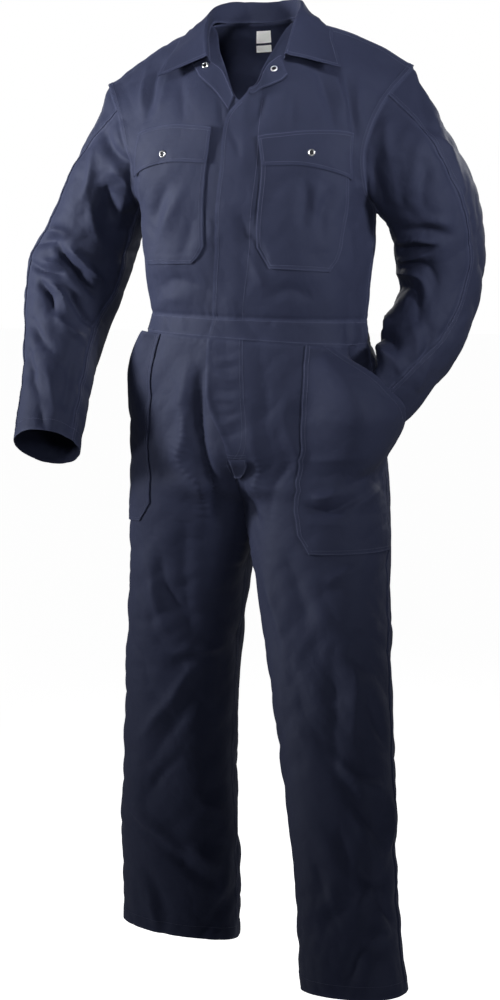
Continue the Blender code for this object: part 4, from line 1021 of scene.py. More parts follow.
SIDE_STITCHES = {
    "front_left": (
        (0, 0.0060, 0.06, 1.00), (1, EDGE_ROW, 0.00, 1.00), (1, SECOND_ROW, 0.01, 1.00),
        (2, EDGE_ROW, 0.54, 1.00), (2, SECOND_ROW, 0.54, 0.99),
    ),
    "front_right": (
        (0, EDGE_ROW, 0.00, 1.00), (0, SECOND_ROW, 0.01, 1.00), (2, EDGE_ROW, 0.00, 0.46),
        (2, SECOND_ROW, 0.01, 0.46),
    ),
    "waistband_left": (*WAISTBAND_SEWN, (0, 0.0060, 0.00, 1.00)),
    "waistband_right": WAISTBAND_SEWN,
    "waistband_back": WAISTBAND_SEWN,
    "trouser_front_left": (
        (0, EDGE_ROW, 0.28, 0.975), (0, SECOND_ROW, 0.28, 0.975), (3, HEM_WIDTH, 0.00, 1.00),
    ),
    "trouser_front_right": (
        (1, EDGE_ROW, 0.28, 0.975), (1, SECOND_ROW, 0.28, 0.975), (3, HEM_WIDTH, 0.00, 1.00),
    ),
    "trouser_back_left": (
        (0, EDGE_ROW, 0.00, 0.975), (0, SECOND_ROW, 0.00, 0.975), (1, 0.0030, 0.00, 0.22),
        (3, HEM_WIDTH, 0.00, 1.00),
    ),
    "trouser_back_right": (
        (1, EDGE_ROW, 0.00, 0.975), (1, SECOND_ROW, 0.00, 0.975), (3, HEM_WIDTH, 0.00, 1.00),
    ),
    "sleeve_back_left": SLEEVE_SEWN,
    "sleeve_back_right": SLEEVE_SEWN,
    "sleeve_front_left": ((3, HEM_WIDTH, 0.00, 1.00),),
    "sleeve_front_right": ((3, HEM_WIDTH, 0.00, 1.00),),
    "collar": (
        (0, 0.0055, 0.45, 0.97), (1, 0.0055, 0.45, 0.97), (2, 0.0020, 0.00, 1.00), (3, 0.0055, 0.01, 0.99),
    ),
    "chest_pocket_right": CHEST_POCKET_SEWN,
    "chest_pocket_left": CHEST_POCKET_SEWN,
    "chest_flap_right": CHEST_FLAP_SEWN,
    "chest_flap_left": CHEST_FLAP_SEWN,
    "hip_pocket_left": (
        (0, EDGE_ROW, 0.00, 1.00), (0, SECOND_ROW, 0.00, 0.96), (1, MOUTH_ROW, 0.00, 1.00),
        (3, EDGE_ROW, 0.01, 0.99), (3, SECOND_ROW, 0.04, 0.96),
    ),
    "hip_pocket_right": (
        (1, EDGE_ROW, 0.00, 1.00), (1, SECOND_ROW, 0.00, 0.96), (0, MOUTH_ROW, 0.00, 1.00),
        (3, EDGE_ROW, 0.01, 0.99), (3, SECOND_ROW, 0.04, 0.96),
    ),
    "lapel_right": ((0, 0.0020, 0.02, 0.98), (1, 0.0020, 0.02, 0.98)),
    "lapel_left": ((0, 0.0020, 0.02, 0.98), (1, 0.0020, 0.02, 0.98)),
    "fly_tongue": ((0, 0.0022, 0.02, 0.98), (1, 0.0022, 0.02, 0.98), (3, 0.0022, 0.05, 0.95)),
}

# Rows of stitching that cross a piece, through places on it.
FREE_STITCHES = (
    ("front_left", (
        (0.250, 0.120), (0.241, 0.259), (0.230, 0.440), (0.222, 0.625), (0.204, 0.931), (0.200, 1.000),
    )),
    ("trouser_front_left", (
        (0.127, 0.000), (0.123, 0.070), (0.117, 0.144), (0.092, 0.200), (0.058, 0.250), (0.036, 0.272),
    )),
    ("trouser_front_left", (
        (0.140, 0.000), (0.136, 0.072), (0.129, 0.150), (0.103, 0.208), (0.068, 0.260), (0.046, 0.282),
    )),
    ("trouser_front_left", ((0.004, 0.262), (0.040, 0.264), (0.075, 0.262))),
    ("trouser_front_left", ((0.004, 0.268), (0.040, 0.270), (0.075, 0.268))),
)


def softened(x):
    """A round bump: 1 at 0, and near 0 past 2 on either side."""
    return np.exp(-np.asarray(x) ** 2)


def fold_profile(x):
    """A fold across its line: full in the middle, with the cloth drawn the other way beside it."""
    return (1 - 0.40 * x**2) * np.exp(-0.95 * np.abs(x) ** 1.25)


def crumple(flat):
    """Small uneven creases all over, deeper on the sleeves and the lower legs than on the chest."""
    bent = flat + 0.013 * np.sin(flat[:, [1, 2, 0]] * 33.0) + 0.006 * np.sin(flat[:, [2, 0, 1]] * 71.0 + 1.0)
    moved = np.zeros(len(flat))
    for place, (length, size) in enumerate(CREASES):
        turn = CREASE_TURN * place
        lift = 1.3 * math.sin(1.7 * place + 0.4)
        way = np.array((math.cos(turn), math.sin(turn), lift)) / math.sqrt(1 + lift**2)
        wave = np.abs(np.sin(bent @ way * math.pi / length + 0.9 * place))
        patch = np.sin(flat @ np.roll(way, 1) * 19.0 + 1.3 * place)
        patch *= np.sin(flat @ np.roll(way, 2) * 15.0 - 0.7 * place)
        moved += size * (wave**0.7 - 0.6) * np.clip(0.3 + patch, 0, 1)
    bodice = smooth((0.215 - np.abs(flat[:, 0])) / 0.03) * smooth((flat[:, 2] + 1.0) / 0.25)
    return CREASE_DEPTH * moved * (1 - 0.55 * bodice)


def along(points):
    """Distance along a run of points, from 0."""
    steps = np.linalg.norm(np.diff(points, axis=0), axis=1)
    return np.concatenate([[0.0], np.cumsum(steps)])


def lines_for(length, step):
    """Places of the grid lines over a length, close together near both ends where a seam lies."""
    near = [k for k in NEAR_EDGE if k < length / 3]
    count = max(2, int(round((length - 2 * near[-1]) / step)))
    inner = np.linspace(near[-1], length - near[-1], count + 1)
    return np.concatenate([near[:-1], inner, length - np.array(near[:-1])[::-1]]) / length


def refined(values, rows_at, columns_at):
    """Values of a grid read on a smooth curve through its rows and columns."""
    down = spline(values, rows_at)
    return spline(down.swapaxes(0, 1), columns_at).swapaxes(0, 1)


def spans(grid):
    """How far each point lies from the panel's first column and from its top, in metres along the panel."""
    over, under = (np.linalg.norm(np.diff(grid, axis=axis), axis=2) for axis in (1, 0))
    across = np.concatenate([np.zeros_like(grid[:, :1, 0]), np.cumsum(over, axis=1)], axis=1)
    down = np.concatenate([np.zeros_like(grid[:1, :, 0]), np.cumsum(under, axis=0)], axis=0)
    return across, down


def fold_runs(panels):
    """Each fold of the table as a run of points on its panel."""
    runs = []
    for panel, folds in FOLDS.items():
        for width, height, places in folds:
            run = spline(np.array(places) / 1000, np.linspace(0, 1, 6 * len(places)))
            points = on_grid(panels[panel][0], run[:, 0], run[:, 1])
            share = along(points) / along(points)[-1]
            ends = 0.25 + 0.75 * np.sin(np.pi * share) ** 0.7
            runs.append((points, width, height * ends))
    return runs


def relief(points, runs, depth):
    """How far the folds and the slack of the cloth move each point out along its normal."""
    flat = points.reshape(-1, 3)
    moved = np.zeros(len(flat))
    for run, width, heights in runs:
        low, high = run.min(axis=0) - FOLD_REACH * width, run.max(axis=0) + FOLD_REACH * width
        near = np.flatnonzero(((flat > low) & (flat < high)).all(axis=1))
        if len(near):
            apart = np.linalg.norm(flat[near, None] - run[None], axis=2)
            closest = apart.argmin(axis=1)
            moved[near] += heights[closest] * fold_profile(apart.min(axis=1) / width)
    for (x, y, z), start, size in SLACK:
        moved += size * np.sin(flat @ np.array((x, y, z)) + start)
    moved += crumple(flat)
    return depth * moved.reshape(points.shape[:-1])


def edge_relief(kind, near, far_along):
    """Relief beside an edge: near is the distance from it and far_along the place along it.

    A plain edge, stitched or not, has none.
    """
    pucker = np.sin(far_along * 2 * math.pi / PUCKER + 2.2 * np.sin(far_along * 37.0))
    pucker *= 0.55 + 0.45 * np.sin(far_along * 23.0 + 2.0)
    if kind == "lapped":
        lap = LAP_RISE * (1 - smooth((near - LAP_WIDTH) / 0.0022))
        return lap + 0.00035 * pucker * softened((near - LAP_WIDTH) / 0.006)
    if kind == "hem":
        lap = 0.5 * LAP_RISE * (1 - smooth((near - HEM_WIDTH) / 0.0025))
        groove = 0.0004 * softened((near - HEM_WIDTH) / 0.0022)
        return lap - groove + 0.0004 * pucker * softened((near - HEM_WIDTH) / 0.009)
    # At the seam line itself the two walls meet, so that no light shows between them.
    clear = smooth(near / 0.005)
    if kind == "sunk":
        dip = SUNK_DEPTH * softened((near - DIP_PLACE) / 0.003)
        return 0.0003 * clear * pucker * softened(near / 0.012) - dip
    if kind == "gathered":
        dip = GATHERED_DEPTH * softened((near - DIP_PLACE) / 0.0035)
        return 0.0006 * clear * pucker * softened(near / 0.016) - dip
    return np.zeros_like(near)


def sides_of(edges, far, deep):
    """Each side's kind, and every point's distance from that side and place along it."""
    return (
        (edges[0], far, deep),
        (edges[1], far[:, -1:] - far, deep),
        (edges[2], deep, far),
        (edges[3], deep[-1:] - deep, far),
    )


def dressed(name, grid, normals, step, runs, depth, edges, ruled=None):
    """A panel's finished outer surface: finer, with its folds and the relief beside its seams.

    Panels sewn side by side are ruled over the same length, so that their points meet on the seam.
    """
    across, down = spans(grid)
    width, length = across[:, -1].max(), down[-1].max()
    rows_at, columns_at = lines_for(ruled or length, step), lines_for(width, step)
    surface = refined(grid, rows_at, columns_at)
    ways = unit(refined(normals, rows_at, columns_at))
    far = refined(across, rows_at, columns_at)
    deep = refined(down, rows_at, columns_at)
    moved = relief(surface, runs, depth)
    sides = sides_of(edges, far, deep)
    above_hem = smooth(sides[3][1] / 0.03) if edges[3] == "hem" else 1.0
    nearest = np.full(far.shape, 1.0)
    for side, (kind, near, place) in enumerate(sides):
        moved = moved + edge_relief(kind, near, place) * (above_hem if side < 2 else 1.0)
        if kind != "none":
            nearest = np.minimum(nearest, near)
    surface = surface + ways * moved[..., None]
    return {
        "name": name, "grid": surface, "ways": ways, "rows": rows_at, "columns": columns_at,
        "uv": np.stack([far, -deep], axis=-1), "edge": nearest,
        "cut": (float(width), float(length), float(area_of(grid))),
    }


def area_of(grid):
    """The area of a grid's surface."""
    one = np.cross(grid[1:, :-1] - grid[:-1, :-1], grid[:-1, 1:] - grid[:-1, :-1])
    two = np.cross(grid[1:, :-1] - grid[1:, 1:], grid[:-1, 1:] - grid[1:, 1:])
    return (np.linalg.norm(one, axis=2).sum() + np.linalg.norm(two, axis=2).sum()) / 2


def at(piece, columns, rows, what="grid"):
    """Values of a finished surface at places from 0 to 1 on its panel."""
    columns, rows = np.asarray(columns, float), np.asarray(rows, float)
    over = np.interp(columns, piece["columns"], np.linspace(0, 1, len(piece["columns"])))
    down = np.interp(rows, piece["rows"], np.linspace(0, 1, len(piece["rows"])))
    return on_grid(piece[what], over, down)


def sewn_on(name, panel, table, layers, step, edges, puff=None):
    """A patch's finished outer surface, laid over the panel that it is sewn to."""
    ends = spline_even(table, 40)
    first, last = ends[:, None, :2], ends[:, None, 2:]
    share = np.linspace(0, 1, 25)
    places = first + (last - first) * share[None, :, None]
    rough = at(panel, places[..., 0], places[..., 1])
    across, down = spans(rough)
    width, length = across[:, -1].max(), down[-1].max()
    rows_at, columns_at = lines_for(length, step), lines_for(width, step)
    ends = spline_even(table, 1, rows_at)
    first, last = ends[:, None, :2], ends[:, None, 2:]
    places = first + (last - first) * columns_at[None, :, None]
    arch = columns_at[None, :] * (1 - columns_at[None, :]) * (1 - rows_at[:, None])
    places[..., 1] += 4 * FLAP_SAG.get(name, 0.0) * arch
    point = at(panel, places[..., 0], places[..., 1])
    way = unit(at(panel, places[..., 0], places[..., 1], "ways"))
    lift = np.full(point.shape[:2], layers * LAYER)
    if puff is not None:
        lift = lift + puff(columns_at[None, :], rows_at[:, None])
    far, deep = spans(point)
    sides = sides_of(edges, far, deep)
    nearest = np.full(far.shape, 1.0)
    for kind, near, place in sides:
        lift = lift + edge_relief(kind, near, place)
        lift = lift - ROUND_OFF * softened(near / ROUND_WIDTH)
        nearest = np.minimum(nearest, near)
    surface = point + way * lift[..., None]
    facing = normals_of(surface)
    flip = (facing * way).sum() < 0
    return {
        "name": name, "grid": surface, "ways": -facing if flip else facing,
        "rows": rows_at, "columns": columns_at, "uv": np.stack([far, -deep], axis=-1), "edge": nearest,
        "cut": (float(width), float(length), float(area_of(surface))), "flip": bool(flip),
    }


def pulled_in(grid, by):
    """The grid with each side moved in from its seam."""
    grid = grid.copy()
    ends = (grid[0], grid[1]), (grid[-1], grid[-2]), (grid[:, 0], grid[:, 1]), (grid[:, -1], grid[:, -2])
    for edge, inner in ends:
        edge += unit(inner - edge) * by
    return grid


def full_collar(body):
    """The collar's smooth grid, from its left end round to its right, and from the seam over the roll."""
    left = np.array(COLLAR_LEFT, float).reshape(-1, 3, 3)
    right = np.array(COLLAR_RIGHT, float).reshape(-1, 3, 3) * (-1, 1, 1)
    whole = np.concatenate([left[:0:-1], right])
    stations = spline(whole, np.linspace(0, 1, COLLAR_COLUMNS + 1))
    seam, roll, edge = stations[:, 0], stations[:, 1], stations[:, 2]
    up = roll - seam
    out, rise = unit(edge - roll), unit(up)
    across = unit(out - rise * (out * rise).sum(axis=1)[:, None])
    lines = [seam + up * share for share in np.linspace(0, 0.7, STAND_LINES)]
    centre = roll - rise * COLLAR_ROLL + across * COLLAR_ROLL
    for swing in np.radians(np.linspace(0, ROLL_TURN, ROLL_LINES)):
        lines.append(centre - across * COLLAR_ROLL * math.cos(swing) + rise * COLLAR_ROLL * math.sin(swing))
    foot = lines[-1]
    lines += [foot + (edge - foot) * share for share in np.linspace(0, 1, LEAF_LINES + 1)[1:]]
    grid = stance(np.array(lines))
    ways = normals_of(grid)
    grid[-LEAF_LINES:] = kept_off(grid[-LEAF_LINES:], ways[-LEAF_LINES:], body, COLLAR_REST)
    return grid


def label_pieces(back):
    """The two blank labels on the inside of the back, below the neck."""
    made = {}
    for name, table in (("label_upper", LABEL_UPPER), ("label_lower", LABEL_LOWER)):
        ends = spline_even(table, LABEL_STEPS)
        share = np.linspace(0, 1, LABEL_STEPS + 1)
        places = ends[:, None, :2] + (ends[:, None, 2:] - ends[:, None, :2]) * share[None, :, None]
        point = at(back, places[..., 0], places[..., 1])
        way = unit(at(back, places[..., 0], places[..., 1], "ways"))
        far, deep = spans(point)
        outer = point - way * (CLOTH + LABEL_OFF)
        facing = normals_of(outer)
        nearest = np.minimum(np.minimum(far, far[:, -1:] - far), np.minimum(deep, deep[-1:] - deep))
        made[name] = {
            "name": name, "grid": outer, "ways": way, "rows": share, "columns": share,
            "uv": np.stack([far, -deep], axis=-1), "edge": nearest, "flip": bool((facing * way).sum() < 0),
            "cut": (float(far[:, -1].max()), float(deep[-1].max()), float(area_of(outer))),
        }
    return made


def side_line(piece, side, distance, first, last):
    """Points of a row of stitching that runs along one side of a piece, in from it by a distance."""
    far, deep = piece["uv"][..., 0], -piece["uv"][..., 1]
    rows, columns = piece["rows"], piece["columns"]
    count = 3 * max(len(rows), len(columns))
    share = np.linspace(first, last, count)
    if side < 2:
        near = far if side == 0 else far[:, -1:] - far
        order = slice(None) if side == 0 else slice(None, None, -1)
        found = np.array([np.interp(distance, row[order], columns[order]) for row in near])
        return at_line(piece, np.interp(share, rows, found), share)
    near = deep if side == 2 else deep[-1:] - deep
    order = slice(None) if side == 2 else slice(None, None, -1)
    found = np.array([np.interp(distance, column[order], rows[order]) for column in near.T])
    return at_line(piece, share, np.interp(share, columns, found))


def at_line(piece, columns, rows):
    """Points a hair over a finished surface."""
    return at(piece, columns, rows) + unit(at(piece, columns, rows, "ways")) * STITCH_LIFT


def stitch_lines(cloth):
    """Every row of stitching as a run of points, by the group of pieces that it belongs to."""
    lines = {"bodice": [], "sleeves": [], "trousers": []}
    for name, rows in SIDE_STITCHES.items():
        for side, distance, first, last in rows:
            lines[group_of(name)].append(side_line(cloth[name], side, distance, first, last))
    for name, places in FREE_STITCHES:
        run = spline(np.array(places, float), np.linspace(0, 1, 120))
        lines[group_of(name)].append(at_line(cloth[name], run[:, 0], run[:, 1]))
    return lines


def group_of(name):
    """The group of pieces whose stitching a piece's rows join."""
    if name.startswith("sleeve"):
        return "sleeves"
    if name.startswith(("trouser", "hip", "fly")):
        return "trousers"
    return "bodice"


def panels_of_cloth():
    """Each panel's name with its smooth grid and the normals there, as the fixed frame has them."""
    places, grids = fronts_and_back()
    leg_places, legs = trousers()
    grids.update(legs)
    grids.update(waistband(grids))
    grids.update(arms(grids))
    normals = {name: normals_of(grid) for name, grid in grids.items()}
    share_normals(grids, normals)
    over = {
        "front_left": places["front_left"],
        "waistband_left": np.repeat(places["front_left"][-1:], WAIST_ROWS + 1, axis=0),
        "trouser_front_left": leg_places["trouser_front_left"],
    }
    for name, place in over.items():
        lift = LAYER * (1 - smooth((place - OVER_END) / OVER_FADE))
        if name == "trouser_front_left":
            downs = np.linspace(0, 1, LEG_ROWS + 1)[:, None]
            lift = lift * (1 - smooth((downs - FLY_FOOT) / FOOT_FADE))
        grids[name] = grids[name] + normals[name] * lift[..., None]
    return {name: (grid, normals[name]) for name, grid in grids.items()}


def family(name):
    """The word that a panel shares with the panels sewn to it side by side."""
    first = name.split("_")[0]
    return "bodice" if first in ("front", "back") else first


def finished_cloth(depth, step):
    """Every cloth piece's finished surface, by the name of the node that it stands for."""
    panels = panels_of_cloth()
    runs = fold_runs(panels)
    made, lengths = {}, {}
    for name, (grid, _) in panels.items():
        lengths[family(name)] = max(lengths.get(family(name), 0.0), float(spans(grid)[1][-1].max()))
    for name, (grid, normals) in panels.items():
        edges = EDGES.get(name, ("none",) * 4)
        made[name] = dressed(name, grid, normals, step, runs, depth, edges, lengths[family(name)])
    for name, panel, table, layers, puff, edges in SEWN:
        made[name] = sewn_on(name, made[panel], table, layers, 0.8 * step, edges, puff)
    rough = full_collar([panels[name] for name in ("front_left", "front_right", "back")])
    ways = normals_of(rough)
    made["collar"] = dressed("collar", rough, ways, 0.9 * step, runs, 0.6 * depth, EDGES["collar"])
    return made


def as_mesh(name, outer, inner, uv, edge, material, flip=False):
    """A closed wall between two grids as a mesh object, with its weave map and its distance from an edge."""
    if flip:
        outer, inner, uv, edge = outer[:, ::-1], inner[:, ::-1], uv[:, ::-1], edge[:, ::-1]
    rows, columns = outer.shape[:2]
    count = rows * columns
    index = np.arange(count).reshape(rows, columns)
    corners = index[:-1, :-1], index[1:, :-1], index[1:, 1:], index[:-1, 1:]
    quads = np.stack(corners, axis=-1).reshape(-1, 4)
    ring = border(index)
    after = np.roll(ring, -1)
    sides = np.stack([ring, after, after + count, ring + count], axis=1)
    faces = np.concatenate([quads, quads[:, ::-1] + count, sides])
    points = np.concatenate([outer.reshape(-1, 3), inner.reshape(-1, 3)])
    mesh = bpy.data.meshes.new(name)
    mesh.vertices.add(len(points))
    mesh.vertices.foreach_set("co", points.ravel())
    mesh.loops.add(faces.size)
    mesh.loops.foreach_set("vertex_index", faces.ravel().astype(np.int32))
    mesh.polygons.add(len(faces))
    mesh.polygons.foreach_set("loop_start", np.arange(0, faces.size, 4, dtype=np.int32))
    mesh.polygons.foreach_set("loop_total", np.full(len(faces), 4, np.int32))
    mesh.update(calc_edges=True)
    weave = mesh.uv_layers.new(name="Weave")
    spread = np.concatenate([uv.reshape(-1, 2)] * 2)[faces.ravel()]
    weave.data.foreach_set("uv", spread.ravel())
    distance = mesh.attributes.new("edge", "FLOAT", "POINT")
    distance.data.foreach_set("value", np.concatenate([edge.ravel()] * 2))
    mesh.materials.append(material)
    mesh.shade_smooth()
    mesh.set_sharp_from_angle(angle=math.radians(60))
    made = bpy.data.objects.new(name, mesh)
    bpy.context.scene.collection.objects.link(made)
    return made


def cloth_piece(piece, material, thickness, by=-SEAM_CLOSE):
    """A finished surface given its thickness and put in its node's place."""
    grid = pulled_in(piece["grid"], by)
    inner = grid - piece["ways"] * thickness
    name, flip = piece["name"] + "_cloth", piece.get("flip", False)
    made = as_mesh(name, grid, inner, piece["uv"], piece["edge"], material, flip)
    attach(made, BODY)
    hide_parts(piece["name"])
    width, length, area = piece["cut"]
    min(area, width * length)
    return made


def tree_socket(tree, name, kind, value=None, way="INPUT"):
    """Gives a node tree one more input or output."""
    made = tree.interface.new_socket(name=name, in_out=way, socket_type=kind)
    if value is not None:
        made.default_value = value
    return made


def linked(tree, node, name, source):
    """Links a node's output, or sets a value, at one input of another node."""
    target = node.inputs[name]
    if isinstance(source, bpy.types.NodeSocket):
        tree.links.new(source, target)
    else:
        target.default_value = source


def maths(tree, operation, one, two=0.0):
    """The result of a Math node."""
    node = tree.nodes.new("ShaderNodeMath")
    node.operation = operation
    linked(tree, node, 0, one)
    linked(tree, node, 1, two)
    return node.outputs[0]


def mixed(tree, factor, one, two):
    """A colour between two colours."""
    node = tree.nodes.new("ShaderNodeMix")
    node.data_type = "RGBA"
    linked(tree, node, "Factor", factor)
    linked(tree, node, 6, one)
    linked(tree, node, 7, two)
    return node.outputs[2]


def noise(tree, where, scale, detail, roughness=0.5):
    """The result of a Noise Texture node."""
    node = tree.nodes.new("ShaderNodeTexNoise")
    tree.links.new(where, node.inputs["Vector"])
    node.inputs["Scale"].default_value = scale
    node.inputs["Detail"].default_value = detail
    node.inputs["Roughness"].default_value = roughness
    return node.outputs["Fac"]


def twill_group():
    """A node group for woven twill: the height of its slanting ribs, from the weave map in metres."""
    tree = bpy.data.node_groups.new("Twill", "ShaderNodeTree")
    tree_socket(tree, "Ribs per metre", "NodeSocketFloat", TWILL_RIBS)
    tree_socket(tree, "Height", "NodeSocketFloat", way="OUTPUT")
    inside, outside = tree.nodes.new("NodeGroupInput"), tree.nodes.new("NodeGroupOutput")
    weave = tree.nodes.new("ShaderNodeUVMap")
    weave.uv_map = "Weave"
    split = tree.nodes.new("ShaderNodeSeparateXYZ")
    tree.links.new(weave.outputs["UV"], split.inputs[0])
    slant = maths(tree, "ADD", split.outputs[0], maths(tree, "MULTIPLY", split.outputs[1], 0.62))
    turns = maths(tree, "MULTIPLY", maths(tree, "MULTIPLY", slant, inside.outputs[0]), 2 * math.pi)
    uneven = maths(tree, "MULTIPLY", noise(tree, weave.outputs["UV"], 420.0, 2.0), 3.0)
    rib = maths(tree, "SINE", maths(tree, "ADD", turns, uneven))
    thread = maths(tree, "SINE", maths(tree, "MULTIPLY", split.outputs[1], 2 * math.pi * 1.7 * TWILL_RIBS))
    height = maths(tree, "ADD", maths(tree, "MULTIPLY", rib, 0.5), maths(tree, "MULTIPLY", thread, 0.12))
    tree.links.new(height, outside.inputs[0])
    return tree


def wear_group():
    """A node group for the tone of worn cloth: mottle, and pale rubbed marks along the seams."""
    tree = bpy.data.node_groups.new("Wear", "ShaderNodeTree")
    tree_socket(tree, "Rub width", "NodeSocketFloat", 0.009)
    tree_socket(tree, "Mottle", "NodeSocketFloat", way="OUTPUT")
    tree_socket(tree, "Rubbed", "NodeSocketFloat", way="OUTPUT")
    inside, outside = tree.nodes.new("NodeGroupInput"), tree.nodes.new("NodeGroupOutput")
    place = tree.nodes.new("ShaderNodeTexCoord").outputs["Object"]
    broad = noise(tree, place, 9.0, 3.0, 0.55)
    fine = noise(tree, place, 210.0, 3.0, 0.6)
    mottle = maths(tree, "ADD", maths(tree, "MULTIPLY", broad, 0.7), maths(tree, "MULTIPLY", fine, 0.3))
    tree.links.new(mottle, outside.inputs[0])
    edge = tree.nodes.new("ShaderNodeAttribute")
    edge.attribute_name = "edge"
    near = maths(tree, "SUBTRACT", 1.0, maths(tree, "DIVIDE", edge.outputs["Fac"], inside.outputs[0]))
    near = maths(tree, "MAXIMUM", near, 0.0)
    patchy = maths(tree, "MULTIPLY", maths(tree, "MULTIPLY", near, near), maths(tree, "MULTIPLY", fine, 1.4))
    tree.links.new(patchy, outside.inputs[1])
    return tree


def group_node(tree, group):
    """A node that holds a shared node group."""
    node = tree.nodes.new("ShaderNodeGroup")
    node.node_tree = group
    return node


def bare_material(name, metallic, roughness):
    """A new material, its node tree and its shader."""
    made = bpy.data.materials.new(name)
    made.use_nodes = True
    shader = made.node_tree.nodes["Principled BSDF"]
    shader.inputs["Metallic"].default_value = metallic
    shader.inputs["Roughness"].default_value = roughness
    return made, made.node_tree, shader


def cloth_material(name, colour, groups, bump=1.0, ribs=TWILL_RIBS, sheen=0.02):
    """Matt woven cloth: mottled, rubbed paler at its seams, with fine slanting ribs."""
    twill, wear = groups
    made, tree, shader = bare_material(name, 0.0, CLOTH_ROUGHNESS)
    tone, weave = group_node(tree, wear), group_node(tree, twill)
    weave.inputs[0].default_value = ribs
    dark = tuple(0.86 * c for c in colour) + (1,)
    pale = tuple(1.14 * c for c in colour) + (1,)
    base = mixed(tree, tone.outputs["Mottle"], dark, pale)
    rub = maths(tree, "MULTIPLY", tone.outputs["Rubbed"], 0.55)
    rubbed = tuple(min(1.0, 1.75 * c + 0.004) for c in colour) + (1,)
    tree.links.new(mixed(tree, rub, base, rubbed), shader.inputs["Base Color"])
    lift = tree.nodes.new("ShaderNodeBump")
    lift.inputs["Strength"].default_value = WEAVE_STRENGTH * bump
    lift.inputs["Distance"].default_value = WEAVE_DEPTH
    place = tree.nodes.new("ShaderNodeTexCoord").outputs["Object"]
    creased = maths(tree, "ABSOLUTE", maths(tree, "SUBTRACT", noise(tree, place, 26.0, 1.0, 0.5), 0.5))
    finer = maths(tree, "ABSOLUTE", maths(tree, "SUBTRACT", noise(tree, place, 62.0, 1.0, 0.5), 0.5))
    creased = maths(tree, "ADD", creased, maths(tree, "MULTIPLY", finer, 0.4))
    ribbed = maths(tree, "MULTIPLY", weave.outputs["Height"], 0.06)
    tree.links.new(maths(tree, "ADD", ribbed, maths(tree, "MULTIPLY", creased, 3.0)), lift.inputs["Height"])
    tree.links.new(lift.outputs["Normal"], shader.inputs["Normal"])
    shader.inputs["Specular IOR Level"].default_value = CLOTH_GLOSS
    shader.inputs["Specular Tint"].default_value = GLOSS_TINT
    shader.inputs["Sheen Weight"].default_value = sheen
    shader.inputs["Sheen Roughness"].default_value = SHEEN_ROUGHNESS
    shader.inputs["Sheen Tint"].default_value = SHEEN_TINT
    return made


def thread_material(name, colour):
    """Spun sewing thread, a little brighter than the cloth."""
    made, tree, shader = bare_material(name, 0.0, 0.60)
    place = tree.nodes.new("ShaderNodeTexCoord").outputs["Object"]
    dark, pale = tuple(0.8 * c for c in colour) + (1,), tuple(1.3 * c for c in colour) + (1,)
    tree.links.new(mixed(tree, noise(tree, place, 500.0, 2.0), dark, pale), shader.inputs["Base Color"])
    shader.inputs["Specular IOR Level"].default_value = 0.10
    return made


def metal_material(name, colour, roughness):
    """Plated metal with faint brushed marks."""
    made, tree, shader = bare_material(name, 1.0, roughness)
    place = tree.nodes.new("ShaderNodeTexCoord").outputs["Object"]
    marks = noise(tree, place, 900.0, 3.0)
    shade = maths(tree, "ADD", maths(tree, "MULTIPLY", marks, 0.16), roughness - 0.08)
    tree.links.new(shade, shader.inputs["Roughness"])
    shader.inputs["Base Color"].default_value = (*colour, 1)
    return made


def stitch_tree():
    """Geometry nodes that sew one short rounded stitch after another along every curve."""
    tree = bpy.data.node_groups.new("Stitching", "GeometryNodeTree")
    tree_socket(tree, "Geometry", "NodeSocketGeometry")
    tree_socket(tree, "Pitch", "NodeSocketFloat", 0.0029)
    tree_socket(tree, "Stitch", "NodeSocketFloat", 0.0023)
    tree_socket(tree, "Radius", "NodeSocketFloat", 0.0003)
    tree_socket(tree, "Thread", "NodeSocketMaterial")
    tree_socket(tree, "Geometry", "NodeSocketGeometry", way="OUTPUT")
    inside, outside = tree.nodes.new("NodeGroupInput"), tree.nodes.new("NodeGroupOutput")
    spaced = tree.nodes.new("GeometryNodeResampleCurve")
    spaced.mode = "LENGTH"
    tree.links.new(inside.outputs["Geometry"], spaced.inputs["Curve"])
    tree.links.new(inside.outputs["Pitch"], spaced.inputs["Length"])
    ball = tree.nodes.new("GeometryNodeMeshUVSphere")
    ball.inputs["Segments"].default_value = 5
    ball.inputs["Rings"].default_value = 4
    ball.inputs["Radius"].default_value = 1.0
    sized = tree.nodes.new("GeometryNodeTransform")
    tree.links.new(ball.outputs["Mesh"], sized.inputs["Geometry"])
    half = maths(tree, "MULTIPLY", inside.outputs["Stitch"], 0.5)
    size = tree.nodes.new("ShaderNodeCombineXYZ")
    tree.links.new(inside.outputs["Radius"], size.inputs[0])
    tree.links.new(inside.outputs["Radius"], size.inputs[1])
    tree.links.new(half, size.inputs[2])
    tree.links.new(size.outputs[0], sized.inputs["Scale"])
    heading = tree.nodes.new("GeometryNodeInputTangent")
    turned = tree.nodes.new("FunctionNodeAlignRotationToVector")
    turned.axis = "Z"
    tree.links.new(heading.outputs[0], turned.inputs["Vector"])
    sewn = tree.nodes.new("GeometryNodeInstanceOnPoints")
    tree.links.new(spaced.outputs[0], sewn.inputs["Points"])
    tree.links.new(sized.outputs[0], sewn.inputs["Instance"])
    tree.links.new(turned.outputs[0], sewn.inputs["Rotation"])
    solid = tree.nodes.new("GeometryNodeRealizeInstances")
    tree.links.new(sewn.outputs[0], solid.inputs[0])
    smooth_faces = tree.nodes.new("GeometryNodeSetShadeSmooth")
    tree.links.new(solid.outputs[0], smooth_faces.inputs[0])
    coloured = tree.nodes.new("GeometryNodeSetMaterial")
    tree.links.new(smooth_faces.outputs[0], coloured.inputs["Geometry"])
    tree.links.new(inside.outputs["Thread"], coloured.inputs["Material"])
    tree.links.new(coloured.outputs[0], outside.inputs[0])
    return tree


